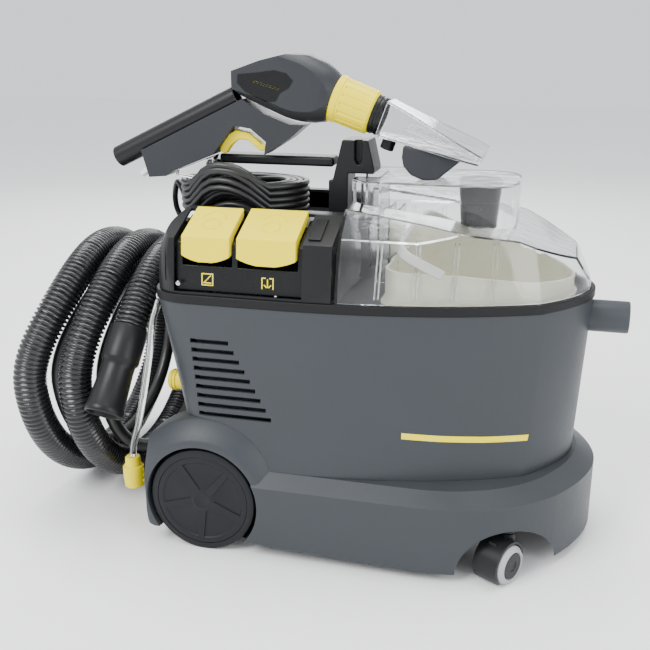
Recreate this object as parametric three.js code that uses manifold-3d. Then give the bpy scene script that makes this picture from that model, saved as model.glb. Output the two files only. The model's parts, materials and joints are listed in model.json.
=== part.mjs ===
// Carpet cleaner machine: a spray extraction cleaner with its hand tool on the carrying handle and
// its suction hose hung in loops on a hook at the rear.
// Millimetres, +Z up, +X towards the machine's nose, -Y its left side as seen from behind.
import * as THREE from "three";
import { mergeVertices } from "three/addons/utils/BufferGeometryUtils.js";
import Module from "manifold-3d";

const wasm = await Module();
wasm.setup();

// ---------------------------------------------------------------- driving dimensions
const gap = 0.3; // kept between pieces that touch
const tiny = 1; // how far a cutter runs past the face it opens
const wall = 3; // moulded wall of the body

// Body shell, in plan at its rim
const bodyRear = -235;
const bodyNose = 226;
const bodyHalf = 143;
const bodyCorner = 49;
const bodyTaperStart = -100;
const bodyTaperPull = 60;
const creaseX = 174;
const creaseY = 89;
const rimZ = 278;
const deckThickness = 3;
const rearLean = 40; // how far the rear wall comes in at the foot
const noseLean = 9;
const footHalf = 154;

// Chassis skirt
const skirtRear = -238;
const skirtNose = 243;
const skirtHalf = 168;
const skirtBottom = 11;
const skirtRearLift = 11; // the lower edge rises towards the rear wheels
const shoulderZ = 86;
const skirtTop = 100;
const skirtWall = 4;
const panZ = 70;
const panThickness = 4;

// Rear wheels
const wheelX = -172;
const wheelRadius = 60;
const wheelOuterY = 164;
const wheelWidth = 30;
const wellClearance = 4;
const fenderFlare = 28; // how far the cowl stands out round the wheel, at the body
const axleRadius = 6;
const axleClearance = 0.3;
const capRadius = 52;
const capThickness = 3;

// Front castors
const castorX = 156;
const castorY = 126;
const castorRadius = 21;
const castorTrail = 14;
const castorTurn = -121; // degrees that the castors stand turned, trailing outward
const castorHalf = 20;
const castorHoodHalf = 14.5; // the wheels' outer rims stand clear of the hood
const stemRadius = 5.5;
const castorArchRadius = 50;
const castorArchZ = 8;

// Hose stub at the nose
const stubRadius = 17.5;
const stubBore = 14.5;
const stubZ = 255;
const stubStart = 211;
const stubEnd = 265;

// Spray line socket in the rear wall
const socketPlace = [0, -96, 172];
const socketRadius = 11;

// Rim seal, rear cover, lid
const sealHeight = 9.7;
const sealProud = 1.5;
const sealWidth = 6;
const coverFront = -33.5;
const ridgeZ = 368;
const ridgeY = 78;
const troughZ = 348;
const troughHalf = 60;
const coverWall = 3;
const lidRear = -30;
const lidWall = 2.5;
const domeTop = 400;
const domeHalf = 56;
const domeFront = 141;
const notchHalf = 25;
const notchFront = -8;

// Switches
const switchBackY = -84;
const switchBackZ = 364;
const switchSpans = { left: [-195, -142], right: [-134, -71] };

// Carrying handle
const barBottom = 407;
const barTop = 418;
const barHalf = 13;
const postHalf = 20;
const rearPostX = -212;
const rearPostWidth = 16;
const rearPostHalf = 9;
const rearPostTop = 411;

// Recovery tank
const tankRear = 12;
const tankNose = 204;
const tankHalf = 108;
const tankBottom = 176;
const tankTop = 318;
const tankFrontTop = 299;
const tankWall = 2.5;
const bailPivotX = 70;
const bailPivotZ = 314;
const bailReach = 50;
const bailRise = 25; // degrees

// Hand tool, in its own frame: origin at the rear of the coupling nut, +x towards the nozzle
const toolPlace = [-63, -20, 484];
const toolSlope = 20; // degrees that the nozzle points down
const nutLength = 45;
const nutRearRadius = 25.5;
const nutFrontRadius = 23.5;
const headHalf = 27;
const gripHalf = 15;
const tubeRadius = 12;
const tubeBore = 9.5;
const tubeRearEnd = [-213, -155];
const tubeFrontEnd = [-99, -38];
const nozzleLength = 113;
const nozzleWide = 48;

// Suction hose, hung in loops on the rear hook
const hoseRadius = 19;
const loopY = 22;
const loopZ = 157.5;
const loopHalfY = 150;
const loopHalfZ = 138;
const loopPitch = 58;
const outerLoopX = -394;
const hoseStartAngle = -2;
const hoseEndAngle = 4 * Math.PI + 1;
const lineRadius = 8; // the spray line beside the hose
const lineOffsetX = 24;
const lineInset = 21;
const cuffGap = 4; // between the end of the flexible hose and a cuff
const cuffLength = 102;
const cuffRadius = 20;
const cuffMouthRadius = 22;

// Mains cable
const glandPlace = [0, 30, 330];
const glandRadius = 6;
const cableRadius = 3.5;
const hankPlace = [-170, 0, 372];
const hankTilt = 3; // degrees
const hankHump = 34; // how far the near turns ride up beside the handle
const hankHalfLength = 62;
const hankHalfWidth = 42;
const hankThickness = 28;
const hankHeight = 35;

// Hose hook at the rear. The row's origin lies under the middle between its tip and the stub's end.
const hookRear = -396;
const originX = (stubEnd + hookRear) / 2;

const DEG = Math.PI / 180;
const colours = {
  grey: [0x686c70, 0.55, 0],
  black: [0x232528, 0.5, 0],
  wheel: [0x24282e, 0.6, 0],
  yellow: [0xeed94f, 0.45, 0],
  clear: [0xdfe4e6, 0.1, 0],
  cream: [0xd8d6bc, 0.5, 0],
  rubber: [0x17181a, 0.85, 0],
  steel: [0xa9adb0, 0.3, 1],
  tread: [0xa4a8ac, 0.7, 0],
  white: [0xe4e4e0, 0.4, 0],
};

// ---------------------------------------------------------------- solids
function toSolid(geometry) {
  const bare = geometry.clone();
  bare.deleteAttribute("normal");
  bare.deleteAttribute("uv");
  const merged = mergeVertices(bare, 1e-4);
  const vertProperties = Float32Array.from(merged.attributes.position.array);
  const triVerts = Uint32Array.from(merged.index.array);
  return new wasm.Manifold(new wasm.Mesh({ numProp: 3, vertProperties, triVerts }));
}

function toGeometry(solid) {
  const mesh = solid.getMesh();
  const geometry = new THREE.BufferGeometry();
  geometry.setAttribute("position", new THREE.BufferAttribute(Float32Array.from(mesh.vertProperties), 3));
  geometry.setIndex(new THREE.BufferAttribute(Uint32Array.from(mesh.triVerts), 1));
  geometry.computeVertexNormals();
  return geometry;
}

const join = (...parts) => parts.reduce((sum, part) => sum.add(part));
const cut = (base, ...tools) => tools.reduce((rest, tool) => rest.subtract(tool), base);
const common = (...parts) => parts.reduce((sum, part) => sum.intersect(part));

function box(x, y, z) {
  const geometry = new THREE.BoxGeometry(x[1] - x[0], y[1] - y[0], z[1] - z[0]);
  geometry.translate((x[0] + x[1]) / 2, (y[0] + y[1]) / 2, (z[0] + z[1]) / 2);
  return toSolid(geometry);
}

// A lathe about X, Y or Z: each profile point is [place along the axis, radius].
function turned(axis, profile, place = [0, 0, 0], segments = 24) {
  const points = profile.map(([along, radius]) => new THREE.Vector2(radius, along));
  const geometry = new THREE.LatheGeometry(points, segments);
  if (axis === "x") geometry.rotateZ(-Math.PI / 2);
  if (axis === "z") geometry.rotateX(Math.PI / 2);
  geometry.translate(...place);
  const solid = toSolid(geometry);
  return solid.volume() > 0 ? solid : toSolid(flipped(geometry));
}

function flipped(geometry) {
  const copy = geometry.clone();
  const index = Array.from(copy.index.array);
  for (let i = 0; i < index.length; i += 3) [index[i + 1], index[i + 2]] = [index[i + 2], index[i + 1]];
  copy.setIndex(index);
  return copy;
}

const rod = (axis, from, to, radius, place, segments) =>
  turned(axis, [[from, 0], [from, radius], [to, radius], [to, 0]], place, segments);
const pipe = (axis, from, to, radius, bore, place, segments) =>
  turned(axis, [[from, bore], [from, radius], [to, radius], [to, bore], [from, bore]], place, segments);

// A plan outline raised from z0 to z1. shape, if given, moves each point of the solid.
function raised(outline, z0, z1, { steps = 1, curveSegments = 6, shape } = {}) {
  const geometry = new THREE.ExtrudeGeometry(outline, {
    depth: z1 - z0,
    steps,
    curveSegments,
    bevelEnabled: false,
  });
  geometry.translate(0, 0, z0);
  return toSolid(shape ? shaped(geometry, shape) : geometry);
}

function shaped(geometry, shape) {
  const position = geometry.attributes.position;
  for (let i = 0; i < position.count; i += 1) {
    position.setXYZ(i, ...shape(position.getX(i), position.getY(i), position.getZ(i)));
  }
  return geometry;
}

function polygon(points) {
  return new THREE.Shape(points.map(([a, b]) => new THREE.Vector2(a, b)));
}

// An XZ outline given thickness along Y, and a YZ outline given length along X.
function slabXZ(points, y0, y1) {
  const geometry = new THREE.ExtrudeGeometry(polygon(points), { depth: y1 - y0, bevelEnabled: false });
  geometry.rotateX(Math.PI / 2);
  geometry.translate(0, y1, 0);
  return toSolid(geometry);
}

function slabYZ(points, x0, x1) {
  const geometry = new THREE.ExtrudeGeometry(polygon(points), { depth: x1 - x0, bevelEnabled: false });
  geometry.applyMatrix4(new THREE.Matrix4().set(0, 0, 1, x0, 1, 0, 0, 0, 0, 1, 0, 0, 0, 0, 0, 1));
  return toSolid(geometry);
}

function ring(outer, inner) {
  outer.holes.push(inner);
  return outer;
}

// A tube of any section along a smooth curve through points.
function along(points, radius, steps, sides = 8) {
  const path = new THREE.CatmullRomCurve3(points.map((point) => new THREE.Vector3(...point)));
  const section = [];
  for (let i = 0; i < sides; i += 1) {
    const angle = (i / sides) * 2 * Math.PI;
    section.push([radius * Math.cos(angle), radius * Math.sin(angle)]);
  }
  const geometry = new THREE.ExtrudeGeometry(polygon(section), {
    steps,
    extrudePath: path,
    bevelEnabled: false,
  });
  return toSolid(geometry);
}

// ---------------------------------------------------------------- scene graph
const machine = new THREE.Group();
machine.position.set(-originX, 0, 0);
const tool = new THREE.Group();
tool.position.set(...toolPlace);
tool.rotation.set(0, toolSlope * DEG, 0);
machine.add(tool);

function add(name, colour, solid, parent = machine) {
  const [hex, roughness, metalness] = colours[colour];
  const material = new THREE.MeshStandardMaterial({ color: hex, roughness, metalness });
  const mesh = new THREE.Mesh(toGeometry(solid), material);
  mesh.name = name;
  parent.add(mesh);
  return mesh;
}

// ---------------------------------------------------------------- plan outlines
// A hull in plan: square rear with round corners, sides that taper to a crease, and a round nose.
function hull({ rear, nose, half, corner, taperStart, taperPull, creaseX: cx, creaseY: cy }) {
  const shape = new THREE.Shape();
  shape.moveTo(rear, -half + corner);
  shape.quadraticCurveTo(rear, -half, rear + corner, -half);
  shape.lineTo(taperStart, -half);
  shape.quadraticCurveTo(taperPull, -half, cx, -cy);
  const run = nose - cx;
  shape.bezierCurveTo(cx + run / 2, -cy * 0.74, nose, -cy * 0.36, nose, 0);
  shape.bezierCurveTo(nose, cy * 0.36, cx + run / 2, cy * 0.74, cx, cy);
  shape.quadraticCurveTo(taperPull, half, taperStart, half);
  shape.lineTo(rear + corner, half);
  shape.quadraticCurveTo(rear, half, rear, half - corner);
  return shape;
}

const bodyOutline = (inset) =>
  hull({
    rear: bodyRear + inset,
    nose: bodyNose - inset,
    half: bodyHalf - inset,
    corner: bodyCorner - inset / 2,
    taperStart: bodyTaperStart,
    taperPull: bodyTaperPull,
    creaseX: creaseX - inset * 0.8,
    creaseY: creaseY - inset * 0.8,
  });

const skirtOutline = (inset) =>
  hull({
    rear: skirtRear + inset,
    nose: skirtNose - inset,
    half: skirtHalf - inset,
    corner: 40 - inset / 2,
    taperStart: 60,
    taperPull: 150,
    creaseX: 203 - inset * 0.8,
    creaseY: 104 - inset * 0.8,
  });

const tankOutline = (inset) =>
  hull({
    rear: tankRear + inset,
    nose: tankNose - inset,
    half: tankHalf - inset,
    corner: 28 - inset / 2,
    taperStart: tankRear + 30,
    taperPull: 92,
    creaseX: 160 - inset * 0.8,
    creaseY: 75 - inset * 0.8,
  });

// The body's walls lean: full size at the rim, drawn in front and rear and spread at the sides below.
function bodyLean(x, y, z) {
  const down = (rimZ - z) / (rimZ - skirtTop);
  const pull = x < 0 ? rearLean / -bodyRear : noseLean / bodyNose;
  return [x * (1 - pull * down), y * (1 + (footHalf / bodyHalf - 1) * down * down), z];
}

const bodyBlock = (inset, z0, z1) => raised(bodyOutline(inset), z0, z1, { steps: 4, shape: bodyLean });

// ---------------------------------------------------------------- chassis
const wellRadius = wheelRadius + wellClearance;
const cowlRadius = wellRadius + fenderFlare;
const wellInnerY = wheelOuterY - wheelWidth - 7;
const cowlInnerY = wellInnerY - 5;
const sides = { left: -1, right: 1 };

// The cowl round one rear wheel, flaring from its lip out to the body's side.
function cowl(side, grow = 0) {
  const lip = skirtHalf - 2 + grow;
  const profile = [
    [side * (cowlInnerY - grow), 0],
    [side * (cowlInnerY - grow), cowlRadius + grow],
    [side * (lip - 20), cowlRadius + grow],
    [side * lip, wellRadius + 5 + grow],
    [side * lip, 0],
  ];
  return turned("y", profile, [wheelX, 0, wheelRadius], 36);
}

function wheelWell(side) {
  const far = skirtHalf + 12;
  return rod("y", side * wellInnerY, side * far, wellRadius, [wheelX, 0, wheelRadius], 36);
}

function chassisSkirt() {
  const drawIn = (x, y, z) => {
    const over = Math.max(0, (z - shoulderZ) / (skirtTop - shoulderZ));
    const lift = z < skirtBottom + tiny && x < 60 ? skirtRearLift * ((60 - x) / (60 - skirtRear)) : 0;
    return [x * (1 - 0.085 * over), y * (1 - (1 - footHalf / skirtHalf) * over), z + lift];
  };
  const outer = join(
    raised(skirtOutline(0), skirtBottom, shoulderZ, { shape: drawIn }),
    raised(skirtOutline(0), shoulderZ, skirtTop, { shape: drawIn }),
  );
  const cavityTop = shoulderZ - skirtWall / 2;
  const keepWells = Object.values(sides).map((side) => cowl(side));
  const cavity = cut(raised(skirtOutline(skirtWall), -tiny, cavityTop), ...keepWells);
  const topOpening = raised(bodyOutline(24), cavityTop - tiny, skirtTop + tiny, { shape: bodyLean });
  const rearLimit = box([skirtRear, 300], [-300, 300], [skirtBottom + skirtRearLift, 300]);
  const cowls = Object.values(sides).map((side) => common(cowl(side), rearLimit));
  const wells = Object.values(sides).map((side) => wheelWell(side));
  const arch = rod("y", -skirtHalf - 12, skirtHalf + 12, castorArchRadius, [castorX, 0, castorArchZ], 32);
  const axleHole = rod("y", -skirtHalf, skirtHalf, axleRadius + gap, [wheelX, 0, wheelRadius], 16);
  return cut(join(cut(outer, cavity, topOpening), ...cowls), ...wells, arch, axleHole);
}

function basePan() {
  const clearWells = Object.values(sides).map((side) => cowl(side, gap));
  const plate = raised(skirtOutline(skirtWall + 1), panZ, panZ + panThickness);
  const ribs = Object.values(sides).map((side) => {
    const y = [side * 92 - 4, side * 92 + 4];
    return box([wheelX - 14, wheelX + 14], y, [wheelRadius - 12, panZ + tiny]);
  });
  const sockets = Object.values(sides).map((side) =>
    rod("z", 52, panZ + panThickness, stemRadius + 5, [castorX, side * castorY, 0], 20),
  );
  const bores = Object.values(sides).map((side) =>
    rod("z", 40, panZ, stemRadius + gap, [castorX, side * castorY, 0], 20),
  );
  const axleBore = rod("y", -skirtHalf, skirtHalf, axleRadius + 0.1, [wheelX, 0, wheelRadius], 16);
  return cut(join(plate, ...ribs, ...sockets), ...clearWells, ...bores, axleBore);
}

// ---------------------------------------------------------------- body
const louvres = { count: 9, top: 240.5, pitch: 10.1, height: 5, rear: -186, firstLength: 43, growth: 4.9 };

function louvreCutters() {
  const cutters = [];
  for (let i = 0; i < louvres.count; i += 1) {
    const z = louvres.top - i * louvres.pitch;
    const x = louvres.rear + i;
    const length = louvres.firstLength + i * louvres.growth;
    for (const side of Object.values(sides)) {
      const y = [side * (bodyHalf + 6) - 12, side * (bodyHalf + 6) + 12];
      cutters.push(box([x, x + length], y, [z - louvres.height, z]));
    }
  }
  return cutters;
}

function bodyShell() {
  const outer = bodyBlock(0, skirtTop + gap, rimZ);
  const inner = bodyBlock(wall, skirtTop - tiny, rimZ - deckThickness);
  const tankHole = raised(tankOutline(-1.5), rimZ - 10, rimZ + tiny);
  const motorHole = box([-205, -45], [-112, 112], [rimZ - 10, rimZ + tiny]);
  const stubHole = rod("x", stubStart, stubEnd, stubRadius + gap, [0, 0, stubZ], 32);
  const cowls = Object.values(sides).map((side) => cowl(side, gap));
  const socketHole = rod("x", -240, -190, socketRadius + gap, socketPlace);
  const hookHole = box([-245, -215], [loopY - 9.3, loopY + 9.3], [233.7, 262.3]);
  return cut(outer, inner, tankHole, motorHole, stubHole, socketHole, hookHole, ...cowls, ...louvreCutters());
}

// What is inside the body, drawn in from its walls by inset.
const roomInBody = (inset, z0, z1) => bodyBlock(wall + inset, z0, z1);

function bulkhead() {
  return common(roomInBody(gap, skirtTop + 4, rimZ - 5), box([2, 5], [-200, 200], [0, 400]));
}

function freshTank() {
  const [bottom, top, rear] = [104, 168, 8];
  const clearance = 1.4;
  const front = (x) => box([x, 400], [-200, 200], [0, 400]);
  const outer = common(roomInBody(clearance, bottom, top), front(rear));
  const innerRoom = roomInBody(clearance + tankWall, bottom + tankWall, top + tiny);
  const inner = common(innerRoom, front(rear + tankWall));
  const cowls = Object.values(sides).map((side) => cowl(side, gap));
  return cut(outer, inner, ...cowls);
}

// ---------------------------------------------------------------- rear cover and switches
const sealBottom = rimZ + gap;
const coverBottom = sealBottom + sealHeight + gap;

function coverBlock(inset) {
  const lean = (x, y, z) => {
    const up = Math.max(0, (z - coverBottom) / (ridgeZ - coverBottom));
    return [x < 0 ? x + 25 * up * up * up * (x / bodyRear) : x, y, z];
  };
  const plan = raised(bodyOutline(1.5 + inset), coverBottom - inset, ridgeZ + 10, { steps: 5, shape: lean });
  const t = inset;
  const section = [
    [-141 + t, coverBottom - tiny - t],
    [-138.5 + t, 300],
    [-133 + t, 346 - t],
    [-84, 367 - t],
    [-ridgeY + t, ridgeZ - t],
    [-troughHalf - 6 + t, ridgeZ - t],
    [-troughHalf + t, troughZ - t],
  ];
  const mirrored = section.map(([y, z]) => [-y, z]).reverse();
  const across = slabYZ([...section, ...mirrored], bodyRear - 10, coverFront - t);
  return common(plan, across);
}

const panelSpan = [-203, -64];
const panelFace = [[-133, 290.5], [-128, 341], [-82, 361]];
const panelBack = [[-81.7, 358], [-125.9, 338.8], [-130.3, 290.5]];

function panelPocket() {
  const region = [[-160, 290.2], [-130, 290.2], [-125.6, 338.6], [-81.2, 357.6], [-81.2, 400], [-160, 400]];
  return slabYZ(region, panelSpan[0] - gap, panelSpan[1] + gap);
}

// The section of a switch: an upright front and a sloping top, hollow behind.
const switchSection = [
  [-137, 322],
  [-133.5, 349],
  [switchBackY, 371],
  [switchBackY, 361.5],
  [-117, 346],
  [-122, 340],
  [-126, 322],
];

function switchCap([x0, x1]) {
  const body = slabYZ(switchSection, x0, x1);
  const sag = 7; // the lower front edge is an arc
  const halfWidth = (x1 - x0) / 2;
  const radius = (halfWidth * halfWidth + sag * sag) / (2 * sag);
  const arc = rod("y", -160, -60, radius, [(x0 + x1) / 2, 0, 322 + radius - 0.5], 64);
  const keepTop = box([x0 - tiny, x1 + tiny], [-160, -60], [322 + sag, 400]);
  return common(body, join(arc, keepTop));
}

function switchHole([x0, x1]) {
  const region = [[-150, 317], [-150, 390], [-80, 390], [-80, 350], [-108, 330], [-116, 317]];
  return slabYZ(region, x0 - 1, x1 + 1);
}

function rearCover() {
  const shell = cut(coverBlock(0), coverBlock(coverWall));
  const glandHole = rod("x", -260, -210, glandRadius + gap, glandPlace);
  return cut(shell, panelPocket(), glandHole);
}

function switchPanel() {
  const plate = slabYZ([...panelFace, ...panelBack], panelSpan[0], panelSpan[1]);
  return cut(plate, ...Object.values(switchSpans).map((span) => switchHole(span)));
}

// ---------------------------------------------------------------- lid
const lidBottom = coverBottom;
const crownY = 90;
const crownZ = 377;
const brinkY = 121;
const brinkZ = 352;

function lidBlock(inset) {
  const t = inset;
  const lean = (x, y, z) => {
    const up = Math.max(0, (z - lidBottom) / 60);
    const forward = Math.max(0, (x - 90) / (bodyNose - 90));
    return [x - 13 * up * forward, y * (1 - 0.04 * up - 0.06 * up * forward), z];
  };
  const plan = raised(bodyOutline(3 + t), lidBottom - t, crownZ + 20, { steps: 4, shape: lean });
  const z0 = lidBottom - tiny - t;
  const section = [
    [-140 + t, z0],
    [-138.5 + t, 300],
    [-brinkY + t, brinkZ - t],
    [-crownY, crownZ - t],
  ];
  const across = slabYZ([...section, ...section.map(([y, z]) => [-y, z]).reverse()], lidRear + t, 300);
  const profile = [
    [lidRear + t, z0],
    [300, z0],
    [300, 296 - t],
    [222 - t, 296 - t],
    [205 - t, 327 - t],
    [147, 352 - t],
    [60, 366 - t],
    [lidRear + t, crownZ - t],
  ];
  return common(plan, across, slabXZ(profile, -200, 200));
}

function domeBlock(inset) {
  const half = domeHalf - inset;
  const front = domeFront - inset;
  const rear = lidRear - 3.2 + inset;
  const chamfer = 12;
  const round = 40 - inset;
  const shape = new THREE.Shape();
  shape.moveTo(rear, -half + chamfer);
  shape.lineTo(rear + chamfer, -half);
  shape.lineTo(front - round, -half);
  shape.quadraticCurveTo(front, -half, front, -half + round);
  shape.lineTo(front, half - round);
  shape.quadraticCurveTo(front, half, front - round, half);
  shape.lineTo(rear + chamfer, half);
  shape.lineTo(rear, half - chamfer);
  return raised(shape, 340 - inset, domeTop - inset, { curveSegments: 8 });
}

function lid() {
  const floor = lidBottom - 10;
  const notch = (grow) => box([-80, notchFront + grow], [-notchHalf - grow, notchHalf + grow], [floor, 500]);
  const outer = cut(join(lidBlock(0), domeBlock(0)), notch(0));
  const inner = cut(join(lidBlock(lidWall), domeBlock(lidWall)), notch(lidWall));
  return cut(outer, inner);
}

// ---------------------------------------------------------------- recovery tank
function recoveryTank() {
  const outer = raised(tankOutline(0), tankBottom, tankTop);
  const flange = raised(tankOutline(-4), rimZ + gap, rimZ + 4);
  const inner = raised(tankOutline(tankWall), tankBottom + tankWall, tankTop + tiny);
  const brim = [[0, tankTop], [90, tankTop - 2], [230, tankFrontTop - 2], [230, 400], [0, 400]];
  const slope = slabXZ(brim, -200, 200);
  const inlet = rod("x", 180, 240, stubBore, [0, 0, stubZ], 20);
  return cut(join(outer, flange), inner, slope, inlet);
}

function tankBail() {
  const y = tankHalf + 1.5;
  const leg = 2.5;
  const width = 5;
  const reach = bailReach;
  const outer = new THREE.Shape();
  outer.moveTo(-reach + 26, -y - leg);
  outer.lineTo(6, -y - leg);
  outer.lineTo(6, -y);
  outer.lineTo(-reach + 26, -y);
  outer.quadraticCurveTo(-reach + leg * 2, -y, -reach + leg * 2, -y + 36);
  outer.lineTo(-reach + leg * 2, y - 36);
  outer.quadraticCurveTo(-reach + leg * 2, y, -reach + 26, y);
  outer.lineTo(6, y);
  outer.lineTo(6, y + leg);
  outer.lineTo(-reach + 26, y + leg);
  outer.quadraticCurveTo(-reach, y + leg, -reach, y - 34);
  outer.lineTo(-reach, -y + 34);
  outer.quadraticCurveTo(-reach, -y - leg, -reach + 26, -y - leg);
  return raised(outer, -width, width, { curveSegments: 6 });
}

// ---------------------------------------------------------------- wheels
function rearWheel(side) {
  const inner = side * (wheelOuterY - wheelWidth);
  const outer = side * wheelOuterY;
  const seat = side * (wheelOuterY - capThickness - gap);
  const bore = axleRadius + axleClearance;
  const round = 3;
  const profile = [
    [inner, bore],
    [inner, wheelRadius - round],
    [inner + side * round, wheelRadius],
    [outer - side * round, wheelRadius],
    [outer, wheelRadius - round],
    [outer, capRadius + gap],
    [seat, capRadius + gap],
    [seat, bore],
    [inner, bore],
  ];
  return turned("y", profile, [wheelX, 0, wheelRadius], 32);
}

function wheelCap(side) {
  const seat = side * (wheelOuterY - capThickness);
  const face = side * wheelOuterY;
  const profile = [
    [seat, 0],
    [seat, capRadius],
    [face, capRadius],
    [face - side, 40],
    [face - side, 12],
    [face, 9],
    [face, 0],
  ];
  return turned("y", profile, [wheelX, 0, wheelRadius], 32);
}

function castorHood() {
  const centre = [castorTrail, 0, castorRadius];
  const hoodInner = castorRadius + 1.6;
  const shell = pipe("y", -castorHoodHalf, castorHoodHalf, castorRadius + 4, hoodInner, centre, 24);
  const upper = box([-60, 80], [-60, 60], [castorRadius + 3, 100]);
  const trailing = box([castorTrail + 5, 80], [-60, 60], [5, 100]);
  const webHalf = 4.5;
  const web = rod("y", -webHalf, webHalf, castorRadius - 2, centre, 20);
  const bridgeHeights = [castorRadius + 10, castorRadius + 25];
  const bridge = box([castorTrail - 12, castorTrail + 12], [-webHalf, webHalf], bridgeHeights);
  const neck = rod("z", castorRadius + 12, 49.5, 9, [0, 0, 0], 14);
  const stem = rod("z", 45, panZ - 2, stemRadius, [0, 0, 0], 12);
  const clearWheels = [-1, 1].map((side) =>
    rod("y", side * 5.2, side * (castorHalf + tiny), hoodInner, centre, 24),
  );
  const axleBore = rod("y", -6, 6, 3.3, centre, 12);
  const cover = common(shell, join(upper, trailing));
  return cut(join(cover, web, bridge, cut(neck, ...clearWheels), stem), axleBore);
}

function castorWheels() {
  const centre = [castorTrail, 0, castorRadius];
  const discs = [-1, 1].map((side) => {
    const inner = side * 6;
    const outer = side * (castorHalf - 1);
    const profile = [
      [inner, 0],
      [inner, castorRadius - 2],
      [inner + side * 2, castorRadius],
      [outer - side * 3, castorRadius],
      [outer, castorRadius - 3],
      [outer, 0],
    ];
    return turned("y", profile, centre, 24);
  });
  return join(...discs, rod("y", -7, 7, 3, centre, 12));
}

// ---------------------------------------------------------------- suction hose and spray line
const smooth = (s) => {
  const t = Math.min(1, Math.max(0, s));
  return t * t * (3 - 2 * t);
};

// The loops stand apart below and draw together over the hook.
function drawTogether(x, z) {
  const hookX = -268 + (x + 284) * 0.79;
  return x + (hookX - x) * smooth((z - loopZ) / loopHalfZ);
}

function loopPoint(angle, inset, offsetX) {
  const x = outerLoopX + (loopPitch * (angle - Math.PI / 2)) / (2 * Math.PI);
  const z = loopZ + (loopHalfZ - inset) * Math.cos(angle);
  return [drawTogether(x, z) + offsetX, loopY - (loopHalfY - inset) * Math.sin(angle), z];
}

function loopPoints(from, to, inset, offsetX) {
  const count = Math.ceil(((to - from) / (2 * Math.PI)) * 16);
  const points = [];
  for (let i = 0; i <= count; i += 1) {
    const angle = from + ((to - from) * i) / count;
    points.push(loopPoint(angle, inset, offsetX));
  }
  return points;
}

// The way the hose points at an angle of the loops, as a unit vector.
function loopHeading(angle, inset, offsetX) {
  const a = new THREE.Vector3(...loopPoint(angle - 0.01, inset, offsetX));
  const b = new THREE.Vector3(...loopPoint(angle + 0.01, inset, offsetX));
  return b.sub(a).normalize();
}

// A turned sleeve whose axis starts at place and points along heading.
function aimed(solid, place, heading) {
  const geometry = toGeometry(solid);
  const turn = new THREE.Quaternion().setFromUnitVectors(new THREE.Vector3(1, 0, 0), heading);
  geometry.applyQuaternion(turn);
  geometry.translate(...place);
  return toSolid(geometry);
}

const hosePoints = loopPoints(hoseStartAngle, hoseEndAngle, 0, 0);
const lineEnd = [
  [-247, -46, 266],
  [-244, -62, 268],
  [-243, -76, 267],
];
const linePoints = [...loopPoints(hoseStartAngle, 4 * Math.PI + 0.1, lineInset, lineOffsetX), ...lineEnd];
const tailPoints = [
  [-243, -93, 264],
  [-243, -101, 256],
  [-246, -107, 240],
  [-250, -111, 205],
  [-256, -116, 165],
  [-264, -119, 125],
  [-272, -120, 96],
  [-274, -120, 82],
];

function hoseCuff() {
  const profile = [
    [cuffGap, cuffRadius - 4.5],
    [cuffGap, cuffRadius + 1.2],
    [0.4 * cuffLength, cuffRadius + 1.2],
    [0.42 * cuffLength, cuffRadius - 1.6],
    [0.92 * cuffLength, cuffMouthRadius - 1],
    [0.94 * cuffLength, cuffMouthRadius],
    [cuffLength, cuffMouthRadius],
    [cuffLength, cuffMouthRadius - 3.5],
    [cuffGap, cuffRadius - 4.5],
  ];
  return turned("x", profile, [0, 0, 0], 20);
}

function farCuff() {
  const length = 66;
  const profile = [
    [cuffGap, 14],
    [cuffGap, hoseRadius + 1.5],
    [30, hoseRadius + 1.5],
    [34, 17],
    [length, 16.5],
    [length, 14],
    [cuffGap, 14],
  ];
  return turned("x", profile, [0, 0, 0], 20);
}

// ---------------------------------------------------------------- mains cable
// The outer turns on the near side ride up beside the handle.
function hankLift(x, y) {
  const along = Math.max(0, 1 - ((x - hankPlace[0] + 10) / 52) ** 2);
  return hankHump * along * smooth((-y - 34) / 18);
}

function cableHank() {
  const oval = (grow) => {
    const shape = new THREE.Shape();
    shape.absellipse(0, 0, hankHalfLength + grow, hankHalfWidth + grow, 0, 2 * Math.PI);
    return shape;
  };
  const inner = new THREE.Path(oval(-hankThickness / 2).getPoints(10));
  const geometry = new THREE.ExtrudeGeometry(ring(oval(hankThickness / 2), inner), {
    depth: hankHeight,
    curveSegments: 10,
    bevelEnabled: false,
  });
  geometry.translate(0, 0, -hankHeight / 2);
  geometry.rotateY(hankTilt * DEG);
  geometry.translate(...hankPlace);
  return toSolid(shaped(geometry, (x, y, z) => [x, y, z + hankLift(x, y)]));
}

// ---------------------------------------------------------------- hand tool
const seam = [[-104, -28], [-88, -36], [-60, -42], [-30, -42], [-14, -37]];

const alongTube = (() => {
  const [ax, az] = tubeRearEnd;
  const [bx, bz] = tubeFrontEnd;
  const run = new THREE.Vector3(bx - ax, 0, bz - az);
  return { start: [ax, 0, az], length: run.length(), heading: run.normalize() };
})();

function toolTube() {
  const tube = pipe("x", 0, alongTube.length, tubeRadius, tubeBore, [0, 0, 0], 24);
  return aimed(tube, alongTube.start, alongTube.heading);
}

function tubeRoom() {
  const room = rod("x", -tiny, alongTube.length + gap, tubeRadius + gap, [0, 0, 0], 24);
  return aimed(room, alongTube.start, alongTube.heading);
}

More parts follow.
